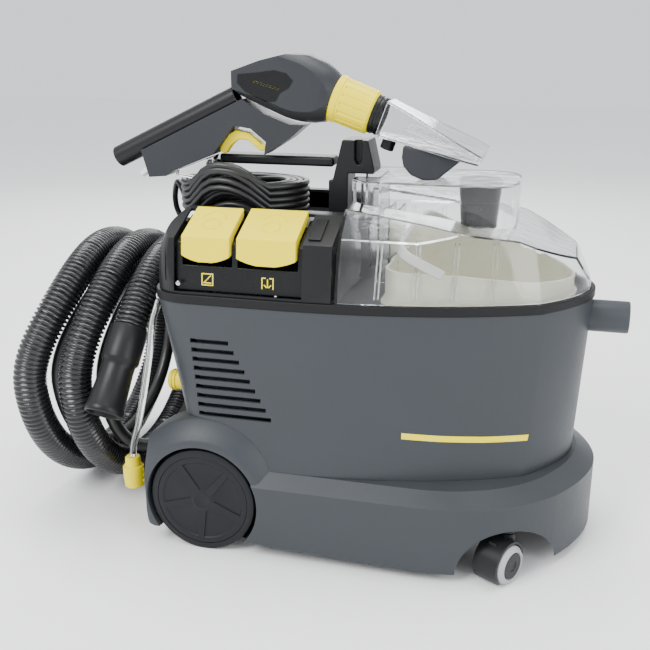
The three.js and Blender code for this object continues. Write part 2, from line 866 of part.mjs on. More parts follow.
function toolHead() {
  const outline = [[-110, -13], ...seam, [0, -29], [4.7, -27], [4.7, 27], [-35, 32], [-68, 18]];
  const slab = slabXZ(outline, -headHalf, headHalf);
  const bellyProfile = [
    [-112, 0],
    [-112, 32],
    [-70, 35],
    [-35, 37],
    [-10, 33],
    [4.7, nutRearRadius],
    [4.7, 0],
  ];
  const belly = turned("x", bellyProfile, [0, 0, -2], 20);
  const halfPlan = [[-112, 14], [-98, 18], [-72, 25], [-48, headHalf], [5, headHalf]];
  const plan = [...halfPlan, ...halfPlan.map(([x, y]) => [x, -y]).reverse()];
  return cut(common(slab, belly, raised(polygon(plan), -60, 60)), tubeRoom());
}

const triggerPivot = [-50, -77];

// The grip's top edge runs alongside the tube, this far under its centreline and this far forward.
const gripBelowTube = 6;
const gripTopRun = 138;

function toolGrip() {
  const topEdge = seam.map(([x, z]) => [x, z - 0.6]).reverse();
  const outline = [
    [-186, -131],
    [-166, -159],
    [-147, -150],
    [-141, -141],
    [-101, -105],
    [-89, -67],
    [-70, -63],
    [-49, -70],
    [-46, -84],
    [-39, -75],
    [-25, -57],
    ...topEdge,
    [-108, -36],
  ];
  const body = slabXZ(outline, -gripHalf, gripHalf);
  const pocket = [[-106, -112], [-104, -74], [-90, -53], [-68, -50], [-42, -62], [-42, -82], [-60, -120]];
  const topRoom = box([-30, gripTopRun], [-40, 40], [-gripBelowTube, 60]);
  const aboveTube = aimed(topRoom, alongTube.start, alongTube.heading);
  return cut(body, slabXZ(pocket, -7, 7), tubeRoom(), aboveTube);
}

function triggerLever() {
  const outline = [
    [-99, -101],
    [-98, -84],
    [-88, -72],
    [-72, -69.5],
    [-54, -76],
    [-46, -73],
    [-46, -80],
    [-55, -84],
    [-71, -78],
    [-82, -81],
    [-88, -91],
    [-91, -102],
  ];
  return slabXZ(outline, -6, 6);
}

function couplingNut() {
  const x0 = 5;
  const profile = [
    [x0, 19.5],
    [x0, nutRearRadius],
    [x0 + nutLength - 2, nutFrontRadius],
    [x0 + nutLength, nutFrontRadius - 2],
    [x0 + nutLength, 19.5],
    [x0, 19.5],
  ];
  return turned("x", profile, [0, 0, 0], 28);
}

function nozzleCollar() {
  const profile = [
    [5.3, 15],
    [5.3, 19.2],
    [50.3, 19.2],
    [50.3, 21],
    [62, 20],
    [62, 15],
    [5.3, 15],
  ];
  return turned("x", profile, [0, 0, 0], 20);
}

function nozzleBlock(inset, past) {
  const x0 = 62.3;
  const x1 = x0 + nozzleLength;
  const geometry = new THREE.BoxGeometry(nozzleLength + 2 * past, 2, 2, 6, 2, 1);
  geometry.translate((x0 + x1) / 2, 0, 0);
  const shape = (x, y, z) => {
    const t = (x - x0) / (x1 - x0);
    const half = 20 + (nozzleWide - 20) * smooth(t) - inset;
    const top = 20 - 13 * t - inset;
    const bottom = -19 + 16 * t + inset;
    return [x, y * half, z > 0 ? top : bottom];
  };
  return toSolid(shaped(geometry, shape));
}

function nozzleFin() {
  const outline = [[95, -15], [101, -31], [113, -40], [127, -41], [141, -35], [157, -6.5]];
  return slabXZ(outline, -30, 30);
}

// ---------------------------------------------------------------- the machine
add("chassis_skirt", "grey", chassisSkirt());
add("base_pan", "black", basePan());
add("body_shell", "grey", bodyShell());
add("bulkhead", "black", bulkhead());
add("fresh_tank", "white", freshTank());

const sealRing = cut(
  raised(bodyOutline(-sealProud), sealBottom, sealBottom + sealHeight),
  raised(bodyOutline(sealWidth), sealBottom - tiny, sealBottom + sealHeight + tiny),
);
add("rim_seal", "rubber", sealRing);
add("hose_stub", "grey", pipe("x", stubStart, stubEnd, stubRadius, stubBore, [0, 0, stubZ], 32));
add("rear_cover", "black", rearCover());
add("switch_panel", "black", switchPanel());
add("switch_block", "black", box([-190, -76], [-112, -86], [296, 314]));
const doorSection = [[-125.7, 349.5], [-126.4, 351], [-92.2, 365.7], [-91.5, 364.2]];
add("service_door", "black", slabYZ(doorSection, -60, -47));

const frontPost = [
  [-61, 393],
  [-61, 396],
  [-51, 438],
  [-22, 438],
  [-15, 408],
  [-15, 402],
  [-44, 402],
  [-44, 393],
];
const plinth = box([-66, -44], [-postHalf, postHalf], [troughZ + gap, 394]);
const postSlot = [[-37, 438 + tiny], [-37, 416], [-33, 411], [-29, 416], [-29, 438 + tiny]];
const slots = Object.values(sides).map((side) =>
  slabXZ(postSlot, Math.min(side * 12, side * 30), Math.max(side * 12, side * 30)),
);
add("handle_front_post", "black", cut(join(slabXZ(frontPost, -postHalf, postHalf), plinth), ...slots));
const barRear = rearPostX + rearPostWidth + gap;
const barFront = -61 + (10 * (barTop - 396)) / 42 - 6 - gap;
add("handle_bar", "black", box([barRear, barFront], [-barHalf, barHalf], [barBottom, barTop]));
const rearPost = [
  [rearPostX, troughZ + gap],
  [rearPostX + rearPostWidth + 6, troughZ + gap],
  [rearPostX + rearPostWidth, 372],
  [rearPostX + rearPostWidth, rearPostTop],
  [rearPostX + 3, rearPostTop],
  [rearPostX, rearPostTop - 4],
];
add("handle_rear_post", "black", slabXZ(rearPost, -rearPostHalf, rearPostHalf));

const hookArm = [
  [hookRear, 252],
  [-228, 236],
  [-220, 236],
  [-220, 260],
  [-230, 262],
  [hookRear + 10, 264],
  [hookRear + 8, 290],
  [hookRear, 290],
];
add("hose_hook", "black", slabXZ(hookArm, loopY - 9, loopY + 9));
add("spray_socket", "yellow", pipe("x", -232, -206, socketRadius, 5, socketPlace, 20));

const axleEnd = wheelOuterY - 6;
add("rear_axle", "steel", rod("y", -axleEnd, axleEnd, axleRadius, [wheelX, 0, wheelRadius], 16));
for (const [name, side] of Object.entries(sides)) {
  add(`rear_wheel_${name}`, "wheel", rearWheel(side));
  add(`wheel_cap_${name}`, "wheel", wheelCap(side));
  const castor = new THREE.Group();
  castor.position.set(castorX, side * castorY, 0);
  castor.rotation.set(0, 0, -side * castorTurn * DEG);
  machine.add(castor);
  add(`castor_hood_${name}`, "black", castorHood(), castor);
  add(`castor_wheels_${name}`, "tread", castorWheels(), castor);
}

const panTop = panZ + panThickness;
const motorX = -88;
const motorTop = 182;
const motorCup = cut(
  rod("z", panTop + 9, motorTop, 50, [motorX, 0, 0], 32),
  rod("z", panTop + 6, motorTop - 6, 46, [motorX, 0, 0], 32),
  rod("z", motorTop - 10, motorTop + tiny, 16, [motorX, 0, 0], 20),
);
add("suction_motor", "steel", motorCup);
add("motor_seal", "rubber", pipe("z", panTop + gap, panTop + 8.7, 52, 40, [motorX, 0, 0], 32));
const rotor = [[92, 0], [92, 8], [104, 8], [104, 42], [128, 42], [128, 8], [176, 8], [176, 0]];
add("motor_rotor", "steel", turned("z", rotor, [motorX, 0, 0], 24));
const pumpFoot = box([-165, -142], [-30, 30], [panTop + gap, 125]);
add("spray_pump", "black", join(rod("y", -45, 45, 14, [-153.5, 0, 130], 24), pumpFoot));

add("lid", "clear", lid());
const ductRoom = box([-2.5, 7.5], [-50, 50], [289, 361]);
add("air_duct", "clear", cut(box([-4.5, 9.5], [-52, 52], [290, 360]), ductRoom));
const floatPlace = [99, 0, 0];
const cageProfile = [[346, 12], [346, 19.5], [397, 23.5], [397, 21], [349, 17], [349, 12], [346, 12]];
add("float_cage", "black", turned("z", cageProfile, floatPlace, 24));
const ballProfile = [[351, 0], [352.5, 8], [358, 13.5], [365, 16], [372, 13.5], [377.5, 8], [379, 0]];
add("float_ball", "white", turned("z", ballProfile, floatPlace, 20));
add("recovery_tank", "cream", recoveryTank());

const bail = new THREE.Group();
bail.position.set(bailPivotX, 0, bailPivotZ + 6);
bail.rotation.set(0, bailRise * DEG, 0);
machine.add(bail);
add("tank_bail", "white", tankBail(), bail);

for (const [name, span] of Object.entries(switchSpans)) add(`switch_${name}`, "yellow", switchCap(span));

add("tool_tube", "black", toolTube(), tool);
add("tool_head", "grey", toolHead(), tool);
add("tool_grip", "grey", toolGrip(), tool);
add("tool_trigger", "yellow", triggerLever(), tool);
add("tool_valve", "steel", rod("x", -86, -72, 3.5, [0, 0, -57], 12), tool);
const nippleHeading = new THREE.Vector3(-0.55, 0, -0.83).normalize();
const nipple = aimed(rod("x", 1.5, 15, 4, [0, 0, 0], 14), [-172.5, 0, -151], nippleHeading);
add("spray_nipple", "white", nipple, tool);
add("coupling_nut", "yellow", couplingNut(), tool);
add("nozzle_collar", "black", nozzleCollar(), tool);
add("spray_nozzle", "clear", cut(nozzleBlock(0, 0), nozzleBlock(1.8, tiny)), tool);
add("nozzle_fin", "grey", cut(nozzleFin(), nozzleBlock(-gap, 0)), tool);
add("spray_knob", "black", cut(rod("z", -30, -14, 7.5, [76, 0, 0], 20), nozzleBlock(-gap, 0)), tool);

add("suction_hose", "rubber", along(hosePoints, hoseRadius, 52, 8));
add("hose_cuff", "black", aimed(hoseCuff(), hosePoints.at(-1), loopHeading(hoseEndAngle, 0, 0)));
add("hose_far_cuff", "black", aimed(farCuff(), hosePoints[0], loopHeading(hoseStartAngle, 0, 0).negate()));
add("spray_line", "rubber", along(linePoints, lineRadius, 52, 8));
const knobAim = new THREE.Vector3(...lineEnd.at(-1)).sub(new THREE.Vector3(...lineEnd.at(-2))).normalize();
add("line_barb", "white", aimed(rod("x", 0.6, 13, 7.5, [0, 0, 0], 16), linePoints.at(-1), knobAim));
add("clear_tail", "clear", along(tailPoints, 4, 18, 8));
add("tail_coupling", "yellow", rod("z", 43, 81, 12, [-274.5, -120, 0], 20));

add("cable_gland", "black", rod("x", -251, -222, glandRadius, glandPlace, 14));
add("cable_hank", "rubber", cableHank());
const cableTailPoints = [
  [-252, 30, 330],
  [-262, 30, 332],
  [-268, 28, 346],
  [-264, 20, 366],
  [-256, 8, 382],
  [-250, 0, 392],
];
add("cable_tail", "rubber", along(cableTailPoints, cableRadius, 20, 8));
add("mains_plug", "black", rod("x", -184, -140, 12, [0, 0, troughZ + 12.5], 20));

export default machine;
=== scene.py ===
"""Looks of a carpet cleaner machine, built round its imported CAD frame.

Lengths are in millimetres in the machine's own axes (X towards the nose, Y to its right side, Z up)
until a piece is placed, when they become metres in the row frame.
"""
import json
import math
import random

import bmesh
import bpy
from mathutils import Matrix, Vector


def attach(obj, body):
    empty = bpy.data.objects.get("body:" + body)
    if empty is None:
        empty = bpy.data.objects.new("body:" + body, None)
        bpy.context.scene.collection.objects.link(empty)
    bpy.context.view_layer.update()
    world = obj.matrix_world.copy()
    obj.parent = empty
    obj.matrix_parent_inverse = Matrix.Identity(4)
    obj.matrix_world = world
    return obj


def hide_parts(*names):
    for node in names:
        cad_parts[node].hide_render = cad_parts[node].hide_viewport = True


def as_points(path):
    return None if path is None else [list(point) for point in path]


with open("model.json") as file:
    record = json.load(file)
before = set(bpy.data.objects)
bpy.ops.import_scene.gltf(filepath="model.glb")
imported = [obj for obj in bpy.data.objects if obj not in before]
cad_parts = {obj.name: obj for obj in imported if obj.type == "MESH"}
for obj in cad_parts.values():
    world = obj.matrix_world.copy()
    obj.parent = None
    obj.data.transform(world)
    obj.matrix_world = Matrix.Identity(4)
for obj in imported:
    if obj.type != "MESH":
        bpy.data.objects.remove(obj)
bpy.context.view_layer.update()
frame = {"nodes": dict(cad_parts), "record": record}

MM = 0.001
ORIGIN_X = 65.5  # the row's origin lies this far behind the machine's own X = 0
ROW = Matrix.Scale(MM, 4) @ Matrix.Translation((ORIGIN_X, 0, 0))
TOOL_PLACE = (-63, -20, 484)
TOOL_SLOPE = math.radians(20)
TOOL = ROW @ Matrix.Translation(TOOL_PLACE) @ Matrix.Rotation(TOOL_SLOPE, 4, "Y")
FULL = 2 * math.pi
SIDES = {"left": -1, "right": 1}
FINE = 64  # steps round a turned piece


def row(x, y, z):
    return tuple(ROW @ Vector((x, y, z)))


# ---------------------------------------------------------------- camera
AZIMUTH = math.radians(14.5)
ELEVATION = math.radians(18)
DISTANCE = 1085
TARGET = (-75, 0, 219)
LENS = 50.8
SENSOR = 36


def make_camera():
    back = Vector((
        math.sin(AZIMUTH) * math.cos(ELEVATION),
        -math.cos(AZIMUTH) * math.cos(ELEVATION),
        math.sin(ELEVATION),
    ))
    data = bpy.data.cameras.new("camera")
    data.lens = LENS
    data.sensor_width = SENSOR
    camera = bpy.data.objects.new("camera", data)
    bpy.context.scene.collection.objects.link(camera)
    camera.location = ROW @ Vector(TARGET) + back * DISTANCE * MM
    camera.rotation_euler = (-back).to_track_quat("-Z", "Y").to_euler()
    bpy.context.scene.camera = camera


make_camera()


# ---------------------------------------------------------------- shader groups
def new_group(name, inputs, outputs):
    tree = bpy.data.node_groups.new(name, "ShaderNodeTree")
    for label, value in inputs.items():
        tree.interface.new_socket(label, in_out="INPUT", socket_type="NodeSocketFloat").default_value = value
    for label, kind in outputs.items():
        tree.interface.new_socket(label, in_out="OUTPUT", socket_type=kind)
    return tree, tree.nodes.new("NodeGroupInput"), tree.nodes.new("NodeGroupOutput")


def add_node(tree, kind, settings=None, values=None):
    node = tree.nodes.new(kind)
    for key, value in (settings or {}).items():
        setattr(node, key, value)
    for key, value in (values or {}).items():
        node.inputs[key].default_value = value
    return node


def math_node(tree, operation, first, second):
    node = add_node(tree, "ShaderNodeMath", {"operation": operation, "use_clamp": True})
    for slot, value in enumerate((first, second)):
        if isinstance(value, (int, float)):
            node.inputs[slot].default_value = value
        else:
            tree.links.new(value, node.inputs[slot])
    return node.outputs[0]


def object_noise(tree, scale, detail=4.0):
    """Noise over the piece in its own coordinates. scale is a socket or a number, per metre."""
    place = add_node(tree, "ShaderNodeTexCoord")
    noise = add_node(tree, "ShaderNodeTexNoise", values={"Detail": detail})
    tree.links.new(place.outputs["Object"], noise.inputs["Vector"])
    if isinstance(scale, (int, float)):
        noise.inputs["Scale"].default_value = scale
    else:
        tree.links.new(scale, noise.inputs["Scale"])
    return noise.outputs["Fac"]


def make_grain():
    """A fine moulded surface: a bumped normal and the same pattern as a value."""
    tree, given, put = new_group(
        "moulded grain", {"Scale": 900.0, "Depth": 0.0002},
        {"Normal": "NodeSocketVector", "Variation": "NodeSocketFloat"},
    )
    fac = object_noise(tree, given.outputs["Scale"], 6.0)
    bump = add_node(tree, "ShaderNodeBump", values={"Strength": 0.6})
    tree.links.new(given.outputs["Depth"], bump.inputs["Distance"])
    tree.links.new(fac, bump.inputs["Height"])
    tree.links.new(bump.outputs["Normal"], put.inputs["Normal"])
    tree.links.new(fac, put.inputs["Variation"])
    return tree


def make_wear():
    """Rubbed edges: where the rounded normal leaves the surface's own, broken up by noise."""
    tree, given, put = new_group("edge wear", {"Width": 0.0012, "Amount": 1.0}, {"Mask": "NodeSocketFloat"})
    rounded = add_node(tree, "ShaderNodeBevel", {"samples": 4})
    tree.links.new(given.outputs["Width"], rounded.inputs["Radius"])
    surface = add_node(tree, "ShaderNodeNewGeometry")
    facing = add_node(tree, "ShaderNodeVectorMath", {"operation": "DOT_PRODUCT"})
    tree.links.new(rounded.outputs["Normal"], facing.inputs[0])
    tree.links.new(surface.outputs["Normal"], facing.inputs[1])
    edge = math_node(tree, "SUBTRACT", 1.0, facing.outputs["Value"])
    edge = math_node(tree, "MULTIPLY", edge, 4.0)
    broken = math_node(tree, "MULTIPLY", edge, object_noise(tree, 160.0))
    tree.links.new(math_node(tree, "MULTIPLY", broken, given.outputs["Amount"]), put.inputs["Mask"])
    return tree


def make_dust():
    """Dust that lies on what faces up, in uneven patches."""
    tree, given, put = new_group("settled dust", {"Amount": 0.3}, {"Mask": "NodeSocketFloat"})
    surface = add_node(tree, "ShaderNodeNewGeometry")
    parts = add_node(tree, "ShaderNodeSeparateXYZ")
    tree.links.new(surface.outputs["Normal"], parts.inputs[0])
    up = math_node(tree, "POWER", math_node(tree, "MAXIMUM", parts.outputs["Z"], 0.0), 3.0)
    patches = math_node(tree, "MULTIPLY", up, object_noise(tree, 28.0, 8.0))
    tree.links.new(math_node(tree, "MULTIPLY", patches, given.outputs["Amount"]), put.inputs["Mask"])
    return tree


def make_marks():
    """Broad handling marks and fine scuffs, as one value round a half."""
    tree, given, put = new_group("handling marks", {"Scale": 14.0}, {"Value": "NodeSocketFloat"})
    broad = object_noise(tree, given.outputs["Scale"], 3.0)
    fine = object_noise(tree, 240.0, 2.0)
    both = math_node(tree, "ADD", math_node(tree, "MULTIPLY", broad, 0.7), math_node(tree, "MULTIPLY", fine, 0.3))
    tree.links.new(both, put.inputs["Value"])
    return tree


GRAIN, WEAR, DUST, MARKS = make_grain(), make_wear(), make_dust(), make_marks()


def put_group(tree, group, **values):
    node = tree.nodes.new("ShaderNodeGroup")
    node.node_tree = group
    for key, value in values.items():
        node.inputs[key].default_value = value
    return node.outputs


def mix_colour(tree, factor, first, second):
    node = add_node(tree, "ShaderNodeMix", {"data_type": "RGBA"})
    tree.links.new(factor, node.inputs["Factor"])
    for label, value in (("A", first), ("B", second)):
        socket = next(s for s in node.inputs if s.name == label and s.type == "RGBA")
        if isinstance(value, tuple):
            socket.default_value = (*value, 1.0)
        else:
            tree.links.new(value, socket)
    return next(s for s in node.outputs if s.type == "RGBA")


def spread(tree, value, low, high):
    """A value round a half, stretched over a roughness range."""
    node = add_node(tree, "ShaderNodeMapRange", values={"From Min": 0.3, "From Max": 0.7, "To Min": low, "To Max": high})
    tree.links.new(value, node.inputs["Value"])
    return node.outputs["Result"]


def moulded(name, colour, rough, grain=900.0, depth=0.0002, shade=0.12, wear=0.5, dust=0.25, extra=None):
    """An opaque moulding, drawn metal or rubber with grain, marks, worn edges and a little dust."""
    material = bpy.data.materials.new(name)
    material.use_nodes = True
    tree = material.node_tree
    shader = tree.nodes["Principled BSDF"]
    for key, value in (extra or {}).items():
        shader.inputs[key].default_value = value
    relief = put_group(tree, GRAIN, Scale=grain, Depth=depth)
    marks = put_group(tree, MARKS)
    darker = tuple(c * (1 - shade) for c in colour)
    lighter = tuple(min(1.0, c * (1 + shade)) for c in colour)
    base = mix_colour(tree, marks["Value"], darker, lighter)
    rubbed = tuple(min(1.0, c * 1.5 + 0.03) for c in colour)
    base = mix_colour(tree, put_group(tree, WEAR, Amount=wear)["Mask"], base, rubbed)
    base = mix_colour(tree, put_group(tree, DUST, Amount=dust)["Mask"], base, (0.4, 0.39, 0.37))
    tree.links.new(base, shader.inputs["Base Color"])
    tree.links.new(spread(tree, marks["Value"], rough - 0.07, rough + 0.09), shader.inputs["Roughness"])
    tree.links.new(relief["Normal"], shader.inputs["Normal"])
    return material


def clear(name, tint, rough):
    """Clear moulded plastic, faintly streaked and rubbed."""
    material = bpy.data.materials.new(name)
    material.use_nodes = True
    tree = material.node_tree
    shader = tree.nodes["Principled BSDF"]
    shader.inputs["Transmission Weight"].default_value = 1.0
    shader.inputs["IOR"].default_value = 1.47
    shader.inputs["Specular IOR Level"].default_value = 0.3
    marks = put_group(tree, MARKS, Scale=22.0)
    base = mix_colour(tree, marks["Value"], tuple(c * 0.95 for c in tint), tint)
    tree.links.new(base, shader.inputs["Base Color"])
    tree.links.new(spread(tree, marks["Value"], rough, rough + 0.05), shader.inputs["Roughness"])
    relief = put_group(tree, GRAIN, Scale=60.0, Depth=0.0004)
    tree.links.new(relief["Normal"], shader.inputs["Normal"])
    return material


DULL = {"Specular IOR Level": 0.25}
GREY = moulded("grey moulding", (0.034, 0.039, 0.044), 0.42, wear=0.3, dust=0.03, extra=DULL)
TOOL_GREY = moulded("tool grey moulding", (0.024, 0.026, 0.030), 0.42, wear=0.3, dust=0.03, extra=DULL)
BLACK = moulded("black moulding", (0.008, 0.0085, 0.0095), 0.36, wear=0.5, dust=0.02, extra=DULL)
SATIN = moulded("satin black panel", (0.006, 0.0065, 0.007), 0.28, grain=1300.0, depth=0.0001, wear=0.4, dust=0.02, extra=DULL)
WHEEL = moulded("wheel moulding", (0.005, 0.006, 0.008), 0.5, grain=700.0, wear=0.5, dust=0.05, extra=DULL)
YELLOW = moulded("yellow moulding", (0.86, 0.71, 0.0), 0.36, shade=0.03, wear=0.05, dust=0.0, extra=DULL)
PALE = moulded("pale yellow print", (0.85, 0.72, 0.02), 0.5, shade=0.05, wear=0.0, dust=0.0)
CREAM = moulded("cream tank moulding", (0.92, 0.90, 0.72), 0.3, shade=0.04, wear=0.1, dust=0.04,
                extra={"Subsurface Weight": 0.15, "Subsurface Radius": (0.004, 0.003, 0.002)})
WHITE = moulded("white moulding", (0.86, 0.86, 0.82), 0.38, shade=0.05, wear=0.1, dust=0.2)
TREAD = moulded("tread moulding", (0.34, 0.35, 0.37), 0.55, grain=500.0, wear=0.4, dust=0.5)
RUBBER = moulded("hose rubber", (0.012, 0.012, 0.014), 0.22, grain=1600.0, depth=0.00008, wear=0.6, dust=0.08)
SEAL = moulded("seal rubber", (0.004, 0.004, 0.005), 0.5, grain=1600.0, wear=0.1, dust=0.0, extra=DULL)
CABLE = moulded("cable sheath", (0.010, 0.010, 0.011), 0.36, grain=1400.0, depth=0.00008, wear=0.0, dust=0.15)
STEEL = moulded("turned steel", (0.55, 0.55, 0.57), 0.28, grain=2200.0, depth=0.00005, wear=0.2, dust=0.1,
                extra={"Metallic": 1.0})
CLEAR = clear("clear lid moulding", (0.945, 0.957, 0.960), 0.012)
CLEAR_TUBE = clear("clear tube", (0.93, 0.95, 0.92), 0.03)


# ---------------------------------------------------------------- making solids
def refill(mesh_source):
    made = bmesh.new()
    made.from_mesh(mesh_source)
    return made


def prism(outline, low, high, steps=1, shape=None):
    """An outline in plan, raised by extrusion; shape moves each point."""
    made = bmesh.new()
    face = made.faces.new([made.verts.new((a, b, low)) for a, b in outline])
    rise = Vector((0, 0, (high - low) / steps))
    for step in range(steps):
        grown = bmesh.ops.extrude_face_region(made, geom=[face])["geom"]
        if step:
            bmesh.ops.delete(made, geom=[face], context="FACES_ONLY")
        bmesh.ops.translate(made, vec=rise, verts=[g for g in grown if isinstance(g, bmesh.types.BMVert)])
        face = next(g for g in grown if isinstance(g, bmesh.types.BMFace))
    if shape:
        for vert in made.verts:
            vert.co = shape(*vert.co)
    bmesh.ops.recalc_face_normals(made, faces=made.faces)
    return made


def slab(plane, outline, low, high, steps=1):
    """An outline in the XZ or YZ plane, given thickness across it."""
    turn = {"xz": lambda a, b, c: (a, c, b), "yz": lambda a, b, c: (c, a, b)}[plane]
    return prism(outline, low, high, steps, shape=turn)


def box(x, y, z):
    return prism([(x[0], y[0]), (x[1], y[0]), (x[1], y[1]), (x[0], y[1])], z[0], z[1])


def lathe(profile, axis="x", place=(0, 0, 0), steps=FINE):
    """A profile of (along the axis, radius) points spun all the way round."""
    made = bmesh.new()
    verts = [made.verts.new((along, radius, 0)) for along, radius in profile]
    closed = profile[0][1] > 0
    pairs = list(zip(verts, verts[1:])) + ([(verts[-1], verts[0])] if closed else [])
    edges = [made.edges.new(pair) for pair in pairs]
    bmesh.ops.spin(made, geom=verts + edges, cent=(0, 0, 0), axis=(1, 0, 0), angle=FULL, steps=steps, use_merge=True)
    bmesh.ops.remove_doubles(made, verts=made.verts, dist=1e-4)
    turn = {"x": Matrix(), "y": Matrix.Rotation(math.pi / 2, 4, "Z"), "z": Matrix.Rotation(-math.pi / 2, 4, "Y")}
    bmesh.ops.transform(made, matrix=Matrix.Translation(place) @ turn[axis], verts=made.verts)
    bmesh.ops.recalc_face_normals(made, faces=made.faces)
    return made


def rod(axis, low, high, radius, place=(0, 0, 0), steps=FINE):
    return lathe([(low, 0), (low, radius), (high, radius), (high, 0)], axis, place, steps)


def pipe(axis, low, high, radius, bore, place=(0, 0, 0), steps=FINE):
    return lathe([(low, bore), (low, radius), (high, radius), (high, bore)], axis, place, steps)


def held(made):
    """A bmesh put into an object for the boolean modifier."""
    mesh = bpy.data.meshes.new("working")
    made.to_mesh(mesh)
    made.free()
    obj = bpy.data.objects.new("working", mesh)
    bpy.context.scene.collection.objects.link(obj)
    return obj


def combine(operation, base, *tools):
    objects = [held(made) for made in (base, *tools)]
    for other in objects[1:]:
        modifier = objects[0].modifiers.new("combine", "BOOLEAN")
        modifier.operation = operation
        modifier.solver = "EXACT"
        modifier.object = other
    graph = bpy.context.evaluated_depsgraph_get()
    made = refill(objects[0].evaluated_get(graph).to_mesh())
    for obj in objects:
        bpy.data.objects.remove(obj)
    return made


def cut(base, *tools):
    return combine("DIFFERENCE", base, *tools)


def join(base, *tools):
    return combine("UNION", base, *tools)


def common(base, *tools):
    return combine("INTERSECT", base, *tools)


def gather(*parts):
    """Several shapes side by side in one mesh, such as ribs on a face."""
    made = bmesh.new()
    for part in parts:
        mesh = bpy.data.meshes.new("working")
        part.to_mesh(mesh)
        part.free()
        made.from_mesh(mesh)
        bpy.data.meshes.remove(mesh)
    return made


def piece(name, made, body, nodes=(), look=GREY, slot=None, soft=0.0, segments=3, sharp=34, place=ROW):
    """Puts a finished shape into the scene: soft is the width in mm to which its edges are rounded."""
    bmesh.ops.transform(made, matrix=place, verts=made.verts)
    bmesh.ops.recalc_face_normals(made, faces=made.faces)
    mesh = bpy.data.meshes.new(name)
    made.to_mesh(mesh)
    made.free()
    mesh.shade_smooth()
    mesh.set_sharp_from_angle(angle=math.radians(sharp))
    mesh.materials.append(look)
    obj = bpy.data.objects.new(name, mesh)
    bpy.context.scene.collection.objects.link(obj)
    if soft:
        modifier = obj.modifiers.new("round", "BEVEL")
        modifier.width = soft * MM
        modifier.segments = segments
        modifier.limit_method = "ANGLE"
        modifier.angle_limit = math.radians(sharp)
        modifier.harden_normals = True
        modifier.miter_outer = "MITER_ARC"
    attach(obj, body)
    if nodes:
        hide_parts(*([nodes] if isinstance(nodes, str) else nodes))
    return obj


def soften(node, look, slot, soft=0.8, segments=2):
    """A CAD node's own shape with its edges rounded, shown in its place."""
    made = refill(frame["nodes"][node].data)
    bmesh.ops.transform(made, matrix=frame["nodes"][node].matrix_world, verts=made.verts)
    bmesh.ops.remove_doubles(made, verts=made.verts, dist=1e-6)
    bmesh.ops.dissolve_limit(made, angle_limit=math.radians(1), verts=made.verts, edges=made.edges)
    body = next(name for name, names in frame["record"]["behaviour"]["bodies"].items() if node in names)
    return piece(f"{node}_look", made, body, node, look, slot, soft, segments, place=Matrix())


# ---------------------------------------------------------------- curves
def curve_points(kind, points, count):
    """A quadratic or cubic Bezier curve without its last point."""
    found = []
    for i in range(count):
        t = i / count
        level = [Vector(p) for p in points]
        while len(level) > 1:
            level = [a.lerp(b, t) for a, b in zip(level, level[1:])]
        found.append(tuple(level[0]))
    return found


def smooth(s):
    t = min(1.0, max(0.0, s))
    return t * t * (3 - 2 * t)


def through(points, per_span=8):
    """A Catmull-Rom curve through points."""
    p = [Vector(q) for q in points]
    p = [2 * p[0] - p[1], *p, 2 * p[-1] - p[-2]]
    found = []
    for a, b, c, d in zip(p, p[1:], p[2:], p[3:]):
        for i in range(per_span):
            t = i / per_span
            found.append(0.5 * (2 * b + (c - a) * t + (2 * a - 5 * b + 4 * c - d) * t * t
                                + (3 * b - a - 3 * c + d) * t ** 3))
    return found + [p[-2]]


def run_length(points):
    return sum((Vector(b) - Vector(a)).length for a, b in zip(points, points[1:]))


def carried(path):
    """Distances and frames along a path, each frame turned as little as can be from the last."""
    points = [Vector(p) for p in path]
    ways = [(b - a).normalized() for a, b in zip(points, points[1:])]
    ways.append(ways[-1])
    side = ways[0].orthogonal().normalized()
    frames, distance = [], 0.0
    for i, point in enumerate(points):
        if i:
            distance += (point - points[i - 1]).length
            side = (ways[i - 1].rotation_difference(ways[i]) @ side).normalized()
        frames.append((distance, point, side, ways[i].cross(side)))
    return frames


def bend_along(made, path):
    """Bends a straight shape, built along X from 0, to follow a path."""
    frames = carried(path)
    steps = [f[0] for f in frames]
    order = sorted(made.verts, key=lambda vert: vert.co.x)
    i = 0
    for vert in order:
        while i < len(steps) - 2 and steps[i + 1] < vert.co.x:
            i += 1
        (d0, p0, s0, u0), (d1, p1, s1, u1) = frames[i], frames[i + 1]
        t = (vert.co.x - d0) / (d1 - d0)
        vert.co = p0.lerp(p1, t) + s0.lerp(s1, t) * vert.co.y + u0.lerp(u1, t) * vert.co.z
    return made


def cord_curve(name, path, radius, look):
    """A round cord as a curve with one open line."""
    data = bpy.data.curves.new(name, "CURVE")
    data.dimensions = "3D"
    data.bevel_depth = radius * MM
    data.bevel_resolution = 4
    data.use_fill_caps = True
    line = data.splines.new("POLY")
    line.points.add(len(path) - 1)
    for spot, place in zip(line.points, path):
        spot.co = (*row(*place), 1.0)
    line.use_smooth = True
    obj = bpy.data.objects.new(name, data)
    bpy.context.scene.collection.objects.link(obj)
    data.materials.append(look)
    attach(obj, "base")
    return obj


def aimed(made, place, heading):
    """Turns a shape built along X to start at place and point along heading."""
    turn = Vector(heading).to_track_quat("X", "Z").to_matrix().to_4x4()
    bmesh.ops.transform(made, matrix=Matrix.Translation(place) @ turn, verts=made.verts)
    return made


# ---------------------------------------------------------------- suction hose and spray line
HOSE_RADIUS = 19
LOOP_Y, LOOP_Z = 22, 157.5
LOOP_HALF_Y, LOOP_HALF_Z = 150, 138
LOOP_PITCH = 58
OUTER_LOOP_X = -394
HOSE_FROM, HOSE_TO = -2.0, 4 * math.pi + 1
LINE_RADIUS, LINE_OFFSET, LINE_INSET = 8, 24, 21


